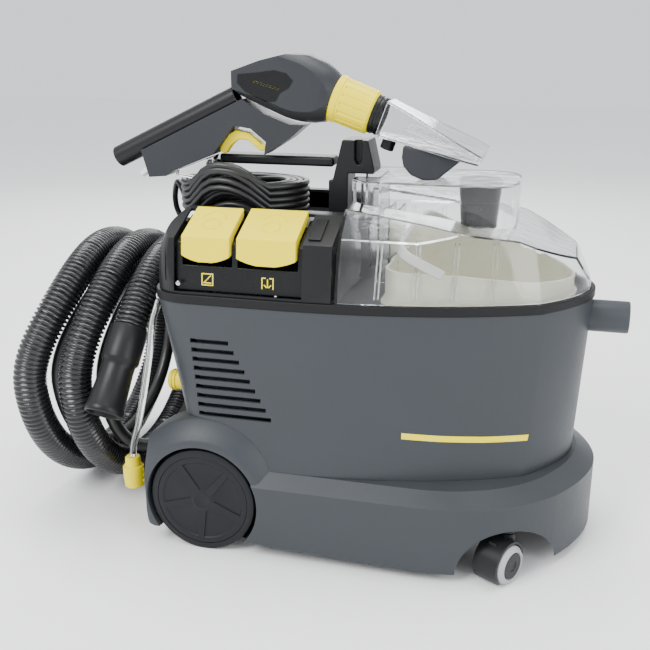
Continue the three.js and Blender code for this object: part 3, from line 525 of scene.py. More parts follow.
def loop_point(angle, inset=0.0, offset=0.0):
    x = OUTER_LOOP_X + LOOP_PITCH * (angle - math.pi / 2) / FULL
    z = LOOP_Z + (LOOP_HALF_Z - inset) * math.cos(angle)
    hook_x = -268 + (x + 284) * 0.79
    x += (hook_x - x) * smooth((z - LOOP_Z) / LOOP_HALF_Z)
    return (x + offset, LOOP_Y - (LOOP_HALF_Y - inset) * math.sin(angle), z)


def loop_path(start, end, inset=0.0, offset=0.0, per_turn=72):
    count = math.ceil((end - start) / FULL * per_turn)
    return [loop_point(start + (end - start) * i / count, inset, offset) for i in range(count + 1)]


def heading(path, at_end=True):
    a, b = (path[-2], path[-1]) if at_end else (path[1], path[0])
    return (Vector(b) - Vector(a)).normalized()


hose_path = loop_path(HOSE_FROM, HOSE_TO)
RIB_PITCH = 5.4
hose_length = run_length(hose_path)


def corrugated(length, radius, pitch, depth, steps=22):
    """A ribbed sleeve along X, with a wall."""
    count = int(length / pitch)
    step = length / count
    outside = []
    for i in range(count):
        x = i * step
        outside += [(x, radius - depth), (x + 0.22 * step, radius - depth * 0.9), (x + 0.4 * step, radius - 0.15),
                    (x + 0.6 * step, radius), (x + 0.8 * step, radius - 0.15)]
    outside.append((length, radius - depth))
    bore = radius - depth - 1.5
    return lathe(outside + [(i * step, bore) for i in range(count, -1, -1)], steps=steps)


def hose_rings():
    """The centre of every ring of the hose, in metres."""
    return [row(*point) for point in hose_path]


hose = piece("suction_hose_look", bend_along(corrugated(hose_length, HOSE_RADIUS, RIB_PITCH, 2.6), hose_path),
             "base", "suction_hose", RUBBER, "black_rubber", sharp=60)


def cuff_profile():
    length, radius, mouth = 102, 20, 22
    return [(0.6, radius - 4.5), (0.6, radius + 0.6), (2, radius + 1.2), (0.38 * length, radius + 1.2),
            (0.4 * length, radius + 0.6), (0.42 * length, radius - 1.4), (0.5 * length, radius - 1.6),
            (0.91 * length, mouth - 1.2), (0.93 * length, mouth - 0.2), (0.95 * length, mouth), (length - 1, mouth),
            (length, mouth - 0.9), (length, mouth - 2.6), (length - 1.5, mouth - 3.5), (0.5 * length, radius - 5)]


near_cuff = piece("hose_cuff_look", aimed(lathe(cuff_profile()), hose_path[-1], heading(hose_path)),
                  "base", "hose_cuff", BLACK, "black_plastic", sharp=50)
far_profile = [(0.6, 14), (0.6, 19.8), (2, 20.5), (29, 20.5), (31, 20), (34, 17), (64, 16.5), (66, 15.6), (66, 14)]
far_cuff = piece("hose_far_cuff_look", aimed(lathe(far_profile), hose_path[0], heading(hose_path, False)),
                 "base", "hose_far_cuff", BLACK, "black_plastic", sharp=50)

LINE_END = [(-247, -46, 266), (-244, -62, 268), (-243, -76, 267)]
line_path = loop_path(HOSE_FROM, 4 * math.pi + 0.1, LINE_INSET, LINE_OFFSET)
line_path = line_path[:-1] + [tuple(p) for p in through([line_path[-1], *LINE_END], 6)]
spray_line = cord_curve("spray_line_look", line_path, LINE_RADIUS, CABLE)
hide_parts("spray_line")
barb = lathe([(0.3, 0), (0.3, 7.2), (3, 7.6), (4, 6), (6, 7.4), (7, 6), (9, 7.2), (10, 5.4), (13.5, 5), (13.5, 0)])
line_barb = piece("line_barb_look", aimed(barb, line_path[-1], heading(line_path)), "base", "line_barb", WHITE,
                  "white_plastic", soft=0.3)

tail_turns = [(-243, -93, 264), (-243, -101, 256), (-246, -107, 240), (-250, -111, 205), (-256, -116, 165),
              (-264, -119, 125), (-272, -120, 96), (-274, -120, 82)]
tail_path = [tuple(p) for p in through(tail_turns, 5)]
clear_tail = cord_curve("clear_tail_look", tail_path, 4, CLEAR_TUBE)
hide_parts("clear_tail")
COUPLING = (-274.5, -120, 0)
coupling_profile = [(43, 0), (43, 9.5), (44.5, 11), (60, 12), (68, 12), (69.5, 11.2), (70, 9.2), (79.5, 8.6),
                    (81, 7.6), (81, 0)]
tail_coupling = piece("tail_coupling_look", gather(
    lathe(coupling_profile, "z", COUPLING),
    *[box((COUPLING[0] - 13, COUPLING[0] + 13), (-121.2, -118.8), (z, z + 3)) for z in (50, 57, 64)],
), "base", "tail_coupling", YELLOW, "yellow_plastic", soft=0.5)

row(*hose_path[0])
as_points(hose_rings())
row(*line_path[0])
run_length(line_path) * MM
row(*tail_path[0])
run_length(tail_path) * MM

# ---------------------------------------------------------------- mains cable
CABLE_RADIUS = 3.5
HANK_PLACE = Vector((-170, 0, 372))
HANK_HALF_LENGTH, HANK_HALF_WIDTH = 62, 42
HANK_HUMP = 34
LAYERS, DECKS = 4, 5
CABLE_PITCH = 7.0
PER_TURN = 40
mess = random.Random(4)


def hump(x, y):
    along = max(0.0, 1 - ((x - HANK_PLACE.x + 10) / 52) ** 2)
    return along * smooth((-y - 30) / 20)


def hank_path():
    """Turns of cable laid layer on layer, each one a little out of true, ending at the plug."""
    turns = LAYERS * DECKS
    lean = [mess.uniform(-0.9, 0.9) for _ in range(turns + 1)]
    rise = [mess.uniform(0.55, 1.0) for _ in range(turns + 1)]
    found = []
    for i in range(turns * PER_TURN):
        turn, part = divmod(i, PER_TURN)
        blend = smooth((part / PER_TURN - 0.55) / 0.45)

        def seat(n):
            layer, deck = divmod(min(n, turns - 1), DECKS)
            deck = deck if layer % 2 == 0 else DECKS - 1 - deck
            return (LAYERS - 1) / 2 - layer, deck - (DECKS - 1) / 2

        out = seat(turn)[0] * (1 - blend) + seat(turn + 1)[0] * blend
        up = seat(turn)[1] * (1 - blend) + seat(turn + 1)[1] * blend
        own = lean[turn] * (1 - blend) + lean[turn + 1] * blend
        lift = rise[turn] * (1 - blend) + rise[turn + 1] * blend
        angle = math.pi + FULL * i / PER_TURN
        grow = out * CABLE_PITCH
        x = HANK_PLACE.x + (HANK_HALF_LENGTH + grow) * math.cos(angle)
        y = (HANK_HALF_WIDTH + grow) * math.sin(angle)
        z = HANK_PLACE.z + up * CABLE_PITCH + own * math.sin(2 * angle + own)
        found.append((x, y, z + HANK_HUMP * lift * hump(x, y)))
    return found


GLAND_END = (-252, 30, 330)
wound = hank_path()
plug_back = (-184, 0, 360.5)
lead_in = [GLAND_END, (-262, 30, 331.5), (-268, 27, 345), (-265, 17, 364), (-256, 8, 380), wound[0]]
lead_out = [wound[-1], (-209, 14, 368), (-198, 3, 362), plug_back]
cable_path = [tuple(p) for p in through(lead_in, 8)][:-1] + wound + [tuple(p) for p in through(lead_out, 8)][1:]
cable = cord_curve("mains_cable_look", cable_path, CABLE_RADIUS, CABLE)
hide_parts("cable_hank", "cable_tail")
relief_profile = [(-251, 0), (-251, 4.1), (-240, 5.2), (-236, 6), (-222, 6), (-222, 0)]
relief = piece("cable_gland_look", lathe(relief_profile, "x", (0, 30, 330), 40), "base", "cable_gland", CABLE,
               "black_plastic", soft=0.4)
plug_profile = [(-184, 0), (-184, 4.2), (-174, 6.5), (-168, 11.2), (-165, 12), (-143, 12), (-141, 11), (-140, 9.5),
                (-140, 0)]
plug = piece("mains_plug_look", gather(
    lathe(plug_profile, "x", (0, 0, 360.5), 40),
    *[rod("x", -141, -128, 2.2, (0, y, 360.5), 20) for y in (-6, 6)],
), "base", "mains_plug", CABLE, "black_plastic", soft=0.5)
run_length(cable_path) * MM


# ---------------------------------------------------------------- plan outlines
CURVE_STEPS = 16


def hull(rear, nose, half, corner, taper_start, taper_pull, crease_x, crease_y):
    """Square rear with round corners, sides that taper to a crease, and a round nose."""
    run = nose - crease_x
    half_way = crease_x + run / 2
    lower = [
        *curve_points(2, [(rear, -half + corner, 0), (rear, -half, 0), (rear + corner, -half, 0)], CURVE_STEPS),
        *curve_points(1, [(rear + corner, -half, 0), (taper_start, -half, 0)], 4),
        *curve_points(2, [(taper_start, -half, 0), (taper_pull, -half, 0), (crease_x, -crease_y, 0)], CURVE_STEPS),
        *curve_points(3, [(crease_x, -crease_y, 0), (half_way, -crease_y * 0.74, 0), (nose, -crease_y * 0.36, 0),
                          (nose, 0, 0)], CURVE_STEPS),
    ]
    upper = [(x, -y) for x, y, _ in reversed(lower)]
    return [(x, y) for x, y, _ in lower] + [(nose, 0)] + upper


BODY_REAR, BODY_NOSE, BODY_HALF = -235, 226, 143
RIM_Z, SKIRT_TOP, SHOULDER_Z = 278, 100, 86
SKIRT_HALF = 168
FOOT_HALF = 154
GAP = 0.3


def body_outline(inset):
    return hull(BODY_REAR + inset, BODY_NOSE - inset, BODY_HALF - inset, 49 - inset / 2, -100, 60,
                174 - inset * 0.8, 89 - inset * 0.8)


def skirt_outline(inset):
    return hull(-238 + inset, 243 - inset, SKIRT_HALF - inset, 40 - inset / 2, 60, 150,
                203 - inset * 0.8, 104 - inset * 0.8)


def tank_outline(inset):
    return hull(12 + inset, 204 - inset, 108 - inset, 28 - inset / 2, 42, 92, 160 - inset * 0.8, 75 - inset * 0.8)


def body_lean(x, y, z):
    down = (RIM_Z - z) / (RIM_Z - SKIRT_TOP)
    pull = 40 / -BODY_REAR if x < 0 else 9 / BODY_NOSE
    return (x * (1 - pull * down), y * (1 + (FOOT_HALF / BODY_HALF - 1) * down * down), z)


def body_block(inset, low, high, steps=10):
    return prism(body_outline(inset), low, high, steps, body_lean)


# ---------------------------------------------------------------- chassis and body
WHEEL_X, WHEEL_RADIUS = -172, 60
WHEEL_Y, WHEEL_WIDTH = 164, 30
WHEEL_PLACE = (WHEEL_X, 0, WHEEL_RADIUS)
WELL_RADIUS = 64
COWL_RADIUS = 92
WELL_INNER_Y = WHEEL_Y - WHEEL_WIDTH - 7
CASTOR_X, CASTOR_Y, CASTOR_TURN = 156, 126, math.radians(-121)
CASTOR_RADIUS, CASTOR_TRAIL, CASTOR_HALF, HOOD_HALF = 21, 14, 20, 14.5


def cowl(side, grow=0.0):
    lip = SKIRT_HALF - 2 + grow
    inner = WELL_INNER_Y - 5 - grow
    across = [(inner, 0), (inner, COWL_RADIUS + grow), (lip - 20, COWL_RADIUS + grow), (lip - 16, COWL_RADIUS - 2 + grow),
              (lip - 2, WELL_RADIUS + 9 + grow), (lip, WELL_RADIUS + 5 + grow), (lip, 0)]
    return lathe([(side * y, radius) for y, radius in across], "y", WHEEL_PLACE, 96)


def make_skirt():
    def draw_in(x, y, z):
        over = max(0.0, (z - SHOULDER_Z) / (SKIRT_TOP - SHOULDER_Z))
        lift = 11 * (60 - x) / 298 if z < 12 and x < 60 else 0
        return (x * (1 - 0.085 * over), y * (1 - (1 - FOOT_HALF / SKIRT_HALF) * over), z + lift)

    lower = prism(skirt_outline(0), 11, SHOULDER_Z, 1, draw_in)
    ledge = prism(skirt_outline(0), SHOULDER_Z - 0.01, SKIRT_TOP, 1, draw_in)
    cavity = cut(prism(skirt_outline(4), -1, SHOULDER_Z - 2), cowl(-1), cowl(1))
    opening = prism(body_outline(24), SHOULDER_Z - 3, SKIRT_TOP + 1, 1, body_lean)
    floor_line = ((-238, 300), (-300, 300), (22, 300))
    cowls = [common(cowl(side), box(*floor_line)) for side in SIDES.values()]
    shell = join(cut(join(lower, ledge), cavity, opening), *cowls)
    wells = [rod("y", side * WELL_INNER_Y, side * 180, WELL_RADIUS, WHEEL_PLACE, 96) for side in SIDES.values()]
    arch = rod("y", -180, 180, 50, (CASTOR_X, 0, 8), 72)
    axle_hole = rod("y", -168, 168, 6.3, WHEEL_PLACE, 32)
    return cut(shell, *wells, arch, axle_hole)


LOUVRES = 9


def louvre_place(i):
    """The top, rear end and length of a slot in the side wall."""
    return 240.5 - i * 10.1, -186 + i, 43 + i * 4.9


def louvre_cutters():
    cutters = []
    for i in range(LOUVRES):
        top, x, length = louvre_place(i)
        for side in SIDES.values():
            across = sorted((side * (BODY_HALF - 8), side * (BODY_HALF + 20)))
            cutters.append(box((x, x + length), across, (top - 5, top)))
    return cutters


def make_body():
    outer = body_block(0, SKIRT_TOP + GAP, RIM_Z)
    inner = body_block(3, SKIRT_TOP - 1, RIM_Z - 3)
    tank_hole = prism(tank_outline(-1.5), RIM_Z - 10, RIM_Z + 1)
    motor_hole = box((-205, -45), (-112, 112), (RIM_Z - 10, RIM_Z + 1))
    stub_hole = rod("x", 211, 265, 17.8, (0, 0, 255))
    socket_hole = rod("x", -240, -190, 11.3, (0, -96, 172))
    hook_hole = box((-245, -215), (12.7, 31.3), (233.7, 262.3))
    walls = cut(outer, inner, gather(*louvre_cutters()))
    return cut(walls, tank_hole, motor_hole, stub_hole, socket_hole, hook_hole, cowl(-1, GAP), cowl(1, GAP))


skirt = piece("chassis_skirt_look", make_skirt(), "base", "chassis_skirt", GREY, "grey_plastic", soft=2.2)
shell = piece("body_shell_look", make_body(), "base", "body_shell", GREY, "grey_plastic", soft=0.7, segments=2)


def make_louvre_blades():
    """Slanted slats just inside the slots."""
    blades = []
    for i in range(LOUVRES):
        top, x, length = louvre_place(i)
        wall = body_lean(0, BODY_HALF, top)[1] - 4
        for side in SIDES.values():
            section = [(side * (wall - 9), top - 10), (side * wall, top - 2), (side * wall, top - 0.9),
                       (side * (wall - 9), top - 8.9)]
            blades.append(slab("yz", section, x + 4, x + length + 2))
    return gather(*blades)


blades = piece("louvre_blades", make_louvre_blades(), "base", (), GREY, "grey_plastic")


def make_stripe():
    """The plain coloured band on the near side, laid on the body's wall."""
    band = [(42, 146.5), (80, 143.8), (125, 141.5), (169, 140.3), (170, 146.9), (125, 148), (80, 150.3), (42, 153)]
    skin = cut(body_block(-0.25, 135, 160, 4), body_block(0.2, 134, 161, 4))
    return common(skin, slab("xz", band, -200, 0))


stripe = piece("side_stripe", make_stripe(), "base", (), YELLOW, "yellow_plastic")

seal_bottom = RIM_Z + GAP
seal_top = seal_bottom + 9.7
COVER_BOTTOM = seal_top + GAP
rim_seal = piece("rim_seal_look", cut(prism(body_outline(-1.5), seal_bottom, seal_top),
                                      prism(body_outline(6), seal_bottom - 1, seal_top + 1)),
                 "base", "rim_seal", SEAL, "black_rubber", soft=1.2)
stub_profile = [(211, 14.5), (211, 17.5), (263.5, 17.5), (265, 16.6), (265, 15.2), (264, 14.5)]
stub = piece("hose_stub_look", lathe(stub_profile, "x", (0, 0, 255)), "base", "hose_stub", GREY, "grey_plastic")
socket_profile = [(-232, 5), (-232, 9.5), (-230.5, 11), (-206, 11), (-206, 5)]
socket = piece("spray_socket_look", gather(
    lathe(socket_profile, "x", (0, -96, 172), 40),
    *[lathe([(x, 11), (x + 0.6, 12.2), (x + 2, 12.2), (x + 2.6, 11)], "x", (0, -96, 172), 40) for x in (-229, -225)],
), "base", "spray_socket", YELLOW, "yellow_plastic", soft=0.4)

# ---------------------------------------------------------------- rear cover, switches
RIDGE_Z, TROUGH_Z, TROUGH_HALF, RIDGE_Y = 368, 348, 60, 78
PANEL = (-203, -64)
SWITCHES = {"left": (-195, -142), "right": (-134, -71)}


def cover_block(t):
    def lean(x, y, z):
        up = max(0.0, (z - COVER_BOTTOM) / (RIDGE_Z - COVER_BOTTOM))
        return (x + 25 * up ** 3 * (x / BODY_REAR) if x < 0 else x, y, z)

    plan = prism(body_outline(1.5 + t), COVER_BOTTOM - t, RIDGE_Z + 10, 9, lean)
    near = [(-141 + t, COVER_BOTTOM - 1 - t), (-138.5 + t, 300), (-133 + t, 346 - t), (-84, 367 - t),
            (-RIDGE_Y + t, RIDGE_Z - t), (-TROUGH_HALF - 6 + t, RIDGE_Z - t), (-TROUGH_HALF + t, TROUGH_Z - t)]
    section = near + [(-y, z) for y, z in reversed(near)]
    return common(plan, slab("yz", section, BODY_REAR - 10, -33.5 - t))


def make_cover():
    pocket_line = [(-160, 290.2), (-130, 290.2), (-125.6, 338.6), (-81.2, 357.6), (-81.2, 400), (-160, 400)]
    pocket = slab("yz", pocket_line, PANEL[0] - GAP, PANEL[1] + GAP)
    gland_hole = rod("x", -260, -210, 6.3, (0, 30, 330), 40)
    groove = box((-214, -212.6), (-160, -132.5), (300, 345))
    return cut(cover_block(0), cover_block(3), pocket, gland_hole, groove)


def switch_hole(span):
    region = [(-150, 317), (-150, 390), (-80, 390), (-80, 350), (-108, 330), (-116, 317)]
    return slab("yz", region, span[0] - 1, span[1] + 1)


def make_panel():
    front = [(-133, 290.5), (-128, 341), (-82, 361), (-81.7, 358), (-125.9, 338.8), (-130.3, 290.5)]
    plate = slab("yz", front, *PANEL)
    return cut(plate, *[switch_hole(span) for span in SWITCHES.values()])


def make_switch(span):
    section = [(-137, 322), (-133.5, 349), (-84, 371), (-84, 361.5), (-117, 346), (-122, 340), (-126, 322)]
    sag = 7
    half = (span[1] - span[0]) / 2
    radius = (half * half + sag * sag) / (2 * sag)
    arc = rod("y", -160, -60, radius, ((span[0] + span[1]) / 2, 0, 322 + radius - 0.5), 180)
    keep = join(arc, box((span[0] - 1, span[1] + 1), (-160, -60), (322 + sag, 400)))
    return common(slab("yz", section, *span), keep)


def on_slope(made, x, y):
    """Lays a shape built flat about Z = 0 on the sloping top of a switch."""
    slope = math.atan2(371 - 349, 133.5 - 84)
    z = 349 + (y + 133.5) * math.tan(slope)
    bmesh.ops.transform(made, matrix=Matrix.Translation((x, y, z)) @ Matrix.Rotation(slope, 4, "X"), verts=made.verts)
    return made


def ring_mark(radius, width, height, steps=40, arc=FULL):
    """A raised ring, or part of one, with a round section."""
    made = bmesh.new()
    bmesh.ops.create_circle(made, cap_ends=arc < FULL, radius=1, segments=10)
    for vert in made.verts:
        vert.co = (radius + vert.co.x * width, 0, vert.co.y * height)
    count = int(steps * arc / FULL)
    bmesh.ops.spin(made, geom=made.verts[:] + made.edges[:] + made.faces[:], cent=(0, 0, 0), axis=(0, 0, 1),
                   angle=arc, steps=count, use_merge=arc >= FULL)
    return made


covers = piece("rear_cover_look", make_cover(), "base", "rear_cover", BLACK, "black_plastic", soft=1.6)
panel = piece("switch_panel_look", make_panel(), "base", "switch_panel", SATIN, "black_plastic", soft=0.7)
for side, span in SWITCHES.items():
    middle = (span[0] + span[1]) / 2
    body_name = f"rocker_{side}"
    piece(f"switch_{side}_look", make_switch(span), body_name, f"switch_{side}", YELLOW, "yellow_plastic", soft=2.4,
          segments=4)
    marks = gather(on_slope(ring_mark(9, 1.0, 1.0), middle, -113),
                   on_slope(ring_mark(12.5, 1.1, 1.1, arc=math.pi * 0.9), middle, -104))
    piece(f"switch_{side}_marks", marks, body_name, (), YELLOW, "yellow_plastic")


def on_panel(made, x, z):
    """Stands a flat shape on the upright part of the panel, above the cover's lower edge."""
    tilt = math.atan2(5, 50.5)
    y = -133 + (z - 290.5) * 5 / 50.5 - 0.15
    turn = Matrix.Rotation(math.pi / 2 - tilt, 4, "X")
    bmesh.ops.transform(made, matrix=Matrix.Translation((x, y, z)) @ turn, verts=made.verts)
    return made


def frame_mark(width, height, line):
    outer = box((-width / 2, width / 2), (-height / 2, height / 2), (-0.2, 0.2))
    inner = box((-width / 2 + line, width / 2 - line), (-height / 2 + line, height / 2 - line), (-1, 1))
    return cut(outer, inner)


def bar_mark(x, y, length, turn, line=1.1):
    made = box((-length / 2, length / 2), (-line / 2, line / 2), (-0.2, 0.2))
    bmesh.ops.transform(made, matrix=Matrix.Translation((x, y, 0)) @ Matrix.Rotation(turn, 4, "Z"), verts=made.verts)
    return made


# Two plain signs under the switches: a drop over a surface and a stream between two walls.
spray_sign = gather(frame_mark(13, 13, 1.1), bar_mark(1, 1.5, 8, 0.8), bar_mark(-1.5, -1, 5, 0.8), bar_mark(0, -3.6, 9, 0))
flow_sign = gather(bar_mark(-6, 0, 12, math.pi / 2), bar_mark(6, 0, 12, math.pi / 2), bar_mark(0, 0, 9, math.pi / 2),
                   bar_mark(-4, 5.4, 4, 0), bar_mark(4, 5.4, 4, 0), bar_mark(-2.4, -3, 4, -0.8), bar_mark(2.4, -3, 4, 0.8))
signs = piece("panel_signs", gather(on_panel(spray_sign, -168, 303), on_panel(flow_sign, -102, 303)), "base", (), PALE,
              "yellow_plastic")
screw_profile = [(-142, 0), (-142, 1.2), (-141.4, 2.4), (-139, 2.4), (-139, 0)]
screws = piece("cover_screws", gather(*[lathe(screw_profile, "y", (x, 1.5, 299), 24) for x in (-198,)]), "base", (),
               STEEL, "bright_steel")
door = soften("service_door", SATIN, "black_plastic", 0.6)

# ---------------------------------------------------------------- clear lid and what is under it
LID_REAR = -30
DOME_TOP, DOME_HALF, DOME_FRONT = 400, 56, 141


def lid_block(t):
    def lean(x, y, z):
        up = max(0.0, (z - COVER_BOTTOM) / 60)
        forward = max(0.0, (x - 90) / (BODY_NOSE - 90))
        return (x - 13 * up * forward, y * (1 - 0.04 * up - 0.06 * up * forward), z)

    plan = prism(body_outline(3 + t), COVER_BOTTOM - t, 397, 10, lean)
    near = [(-140 + t, COVER_BOTTOM - 1 - t), (-138.5 + t, 300), (-121 + t, 352 - t), (-90, 377 - t)]
    across = slab("yz", near + [(-y, z) for y, z in reversed(near)], LID_REAR + t, 300)
    side_line = [(LID_REAR + t, COVER_BOTTOM - 1 - t), (300, COVER_BOTTOM - 1 - t), (300, 296 - t), (222 - t, 296 - t),
                 (205 - t, 327 - t), (147, 352 - t), (60, 366 - t), (LID_REAR + t, 377 - t)]
    return common(plan, across, slab("xz", side_line, -200, 200))


def dome_block(t):
    half, front, rear = DOME_HALF - t, DOME_FRONT - t, LID_REAR - 3.2 + t
    chamfer, bend = 12, 40 - t
    nose = curve_points(2, [(front - bend, -half, 0), (front, -half, 0), (front, -half + bend, 0)], 14)
    lower = [(rear, -half + chamfer), (rear + chamfer, -half), *[(x, y) for x, y, _ in nose], (front, -half + bend)]
    return prism(lower + [(x, -y) for x, y in reversed(lower)], 340 - t, DOME_TOP - t)


def make_lid():
    def notch(grow):
        return box((-80, -8 + grow), (-25 - grow, 25 + grow), (COVER_BOTTOM - 10, 500))

    outer = cut(join(lid_block(0), dome_block(0)), notch(0))
    inner = cut(join(lid_block(2.5), dome_block(2.5)), notch(2.5))
    return cut(outer, inner)


lid = piece("lid_look", make_lid(), "lid", "lid", CLEAR, "clear_plastic", soft=1.8, segments=3, sharp=22)


def make_lid_ribs():
    """Upright paired ribs inside the lower tier."""
    ribs = []
    for x in (8, 46, 84, 122):
        for side in SIDES.values():
            for shift in (0, 4):
                line = [(side * 135.2, 292), (side * 119, 348), (side * 116, 345), (side * 131.5, 292)]
                ribs.append(slab("yz", line, x + shift, x + shift + 1.2))
    return gather(*ribs)


def hug(made):
    """Draws ribs in where the lid narrows towards the nose."""
    for vert in made.verts:
        x, y, z = vert.co
        if x > -100:
            t = (x + 100) / 274
            half = BODY_HALF * (1 - t) ** 2 + 2 * BODY_HALF * t * (1 - t) + 89 * t * t
            vert.co.y = y * (half / BODY_HALF) * (1 - 0.045 * (z - COVER_BOTTOM) / 60)
    return made


lid_ribs = piece("lid_ribs", hug(make_lid_ribs()), "lid", (), CLEAR, "clear_plastic", soft=0.3)
duct = soften("air_duct", CLEAR_TUBE, "clear_plastic", 0.8)
cage_profile = [(346, 12), (346, 18.6), (347, 19.6), (372, 21.4), (372.6, 20.8), (375, 21), (375.6, 21.8), (391, 23),
                (392, 23.5), (396.4, 23.5), (397, 22.9), (397, 21), (349, 17), (349, 12)]
cage = piece("float_cage_look", lathe(cage_profile, "z", (99, 0, 0)), "lid", "float_cage", SATIN, "black_plastic")
ball_profile = [(15 * (1 - math.cos(a)), 15 * math.sin(a)) for a in [math.pi * i / 16 for i in range(17)]]
ball = piece("float_ball_look", lathe(ball_profile, "z", (99, 0, 350.5), 40), "float", "float_ball", WHITE,
             "white_plastic")


def make_tank():
    slope = slab("xz", [(0, 318), (90, 316), (230, 297), (230, 400), (0, 400)], -200, 200)
    inlet = rod("x", 180, 240, 14.5, (0, 0, 255))
    flange = prism(tank_outline(-4), RIM_Z + GAP, RIM_Z + 4)
    return cut(join(prism(tank_outline(0), 176, 318, 4), flange), prism(tank_outline(2.5), 178.5, 319), slope, inlet)


tank = piece("recovery_tank_look", make_tank(), "tank", "recovery_tank", CREAM, "cream_plastic", soft=1.0)
bail = soften("tank_bail", WHITE, "white_plastic", 1.2, 3)

# ---------------------------------------------------------------- carrying handle and hook
front_post = soften("handle_front_post", BLACK, "black_plastic", 2.0, 3)
bar = soften("handle_bar", BLACK, "black_plastic", 3.5, 4)
rear_post = soften("handle_rear_post", BLACK, "black_plastic", 1.8, 3)
hook = soften("hose_hook", BLACK, "black_plastic", 2.0, 3)

# ---------------------------------------------------------------- wheels
def make_wheel(side):
    inner, outer = side * (WHEEL_Y - WHEEL_WIDTH), side * WHEEL_Y
    seat = side * (WHEEL_Y - 3.3)
    profile = [(inner, 6.3), (inner, 57), (inner + side, 59), (inner + side * 3, 60), (outer - side * 3, 60),
               (outer - side, 59.2), (outer, 57), (outer, 52.3), (seat, 52.3), (seat, 6.3)]
    return lathe(profile, "y", WHEEL_PLACE, 96)


def make_cap(side):
    seat, face = side * (WHEEL_Y - 3), side * WHEEL_Y
    disc = lathe([(seat, 0), (seat, 51.6), (face - side * 0.4, 52), (face, 51), (face, 46), (face - side * 1.2, 44.5),
                  (face - side * 1.2, 14), (face, 12), (face + side * 0.6, 9.6), (face + side * 0.6, 8.4), (face, 7.4),
                  (face, 0)], "y", WHEEL_PLACE, 96)
    spokes = []
    low, high = sorted((face - side * 1.4, face + side * 0.1))
    for i in range(5):
        spoke = slab("xz", [(11, -5), (46, -3.4), (46, 3.4), (11, 5)], low, high)
        turn = Matrix.Translation(WHEEL_PLACE) @ Matrix.Rotation(FULL * (i + 0.3) / 5, 4, "Y")
        bmesh.ops.transform(spoke, matrix=turn, verts=spoke.verts)
        spokes.append(spoke)
    return gather(disc, *spokes)


def castor_place(side):
    return ROW @ Matrix.Translation((CASTOR_X, side * CASTOR_Y, 0)) @ Matrix.Rotation(-side * CASTOR_TURN, 4, "Z")


CASTOR_CENTRE = (CASTOR_TRAIL, 0, CASTOR_RADIUS)


def make_hood():
    def ring_cut(low, high):
        return rod("y", low, high, CASTOR_RADIUS + 1.6, CASTOR_CENTRE, 72)

    shell_part = pipe("y", -HOOD_HALF, HOOD_HALF, CASTOR_RADIUS + 4, CASTOR_RADIUS + 1.6, CASTOR_CENTRE, 72)
    above = box((-60, 80), (-60, 60), (CASTOR_RADIUS + 3, 100))
    trailing = box((CASTOR_TRAIL + 5, 80), (-60, 60), (5, 100))
    upper = common(shell_part, join(above, trailing))
    web = rod("y", -4.5, 4.5, CASTOR_RADIUS - 2, CASTOR_CENTRE)
    bridge = box((CASTOR_TRAIL - 12, CASTOR_TRAIL + 12), (-4.5, 4.5), (CASTOR_RADIUS + 10, CASTOR_RADIUS + 25))
    neck = cut(rod("z", CASTOR_RADIUS + 12, 49.5, 9), ring_cut(5.2, CASTOR_HALF + 1), ring_cut(-CASTOR_HALF - 1, -5.2))
    stem = rod("z", 45, 68, 5.5)
    return join(upper, web, bridge, neck, stem)


def make_castor_wheels():
    discs = []
    for side in SIDES.values():
        inner, outer = side * 6, side * (CASTOR_HALF - 1)
        profile = [(inner, 0), (inner, CASTOR_RADIUS - 2), (inner + side * 2, CASTOR_RADIUS),
                   (outer - side * 4, CASTOR_RADIUS), (outer - side, CASTOR_RADIUS - 2.5), (outer, CASTOR_RADIUS - 5.5),
                   (outer - side * 1.6, CASTOR_RADIUS - 6.2), (outer - side * 1.6, 0)]
        discs.append(lathe(profile, "y", CASTOR_CENTRE, 72))
    return gather(*discs, rod("y", -7, 7, 3, CASTOR_CENTRE, 24))


def make_castor_caps():
    caps = []
    for side in SIDES.values():
        outer = side * (CASTOR_HALF - 1)
        profile = [(outer - side * 1.7, 0), (outer - side * 1.7, CASTOR_RADIUS - 6.4), (outer - side * 0.4, CASTOR_RADIUS - 7),
                   (outer - side * 0.1, 6), (outer - side * 0.9, 5), (outer - side * 0.9, 0)]
        caps.append(lathe(profile, "y", CASTOR_CENTRE, 60))
    return gather(*caps)


axle = soften("rear_axle", STEEL, "bright_steel", 0.5)
for name, side in SIDES.items():
    piece(f"rear_wheel_{name}_look", make_wheel(side), f"wheel_{name}", f"rear_wheel_{name}", WHEEL, "wheel_plastic")
    piece(f"wheel_cap_{name}_look", make_cap(side), f"wheel_{name}", f"wheel_cap_{name}", WHEEL, "wheel_plastic",
          soft=0.5, segments=2)
    piece(f"castor_hood_{name}_look", make_hood(), f"castor_{name}", f"castor_hood_{name}", BLACK, "black_plastic",
          soft=0.8, place=castor_place(side))
    piece(f"castor_wheels_{name}_look", make_castor_wheels(), f"castor_roller_{name}", f"castor_wheels_{name}", TREAD,
          "tread_plastic", soft=0.4, place=castor_place(side))
    piece(f"castor_caps_{name}", make_castor_caps(), f"castor_roller_{name}", (), BLACK, "black_plastic",
          place=castor_place(side))

# ---------------------------------------------------------------- hand tool
SEAM = [(-104, -28), (-88, -36), (-60, -42), (-30, -42), (-14, -37)]
TUBE_REAR, TUBE_FRONT = Vector((-213, 0, -155)), Vector((-99, 0, -38))
TUBE_RADIUS = 12


def along_tube(made):
    return aimed(made, TUBE_REAR, (TUBE_FRONT - TUBE_REAR).normalized())


tube_length = (TUBE_FRONT - TUBE_REAR).length


def tube_room():
    return along_tube(rod("x", -1, tube_length + GAP, TUBE_RADIUS + GAP))


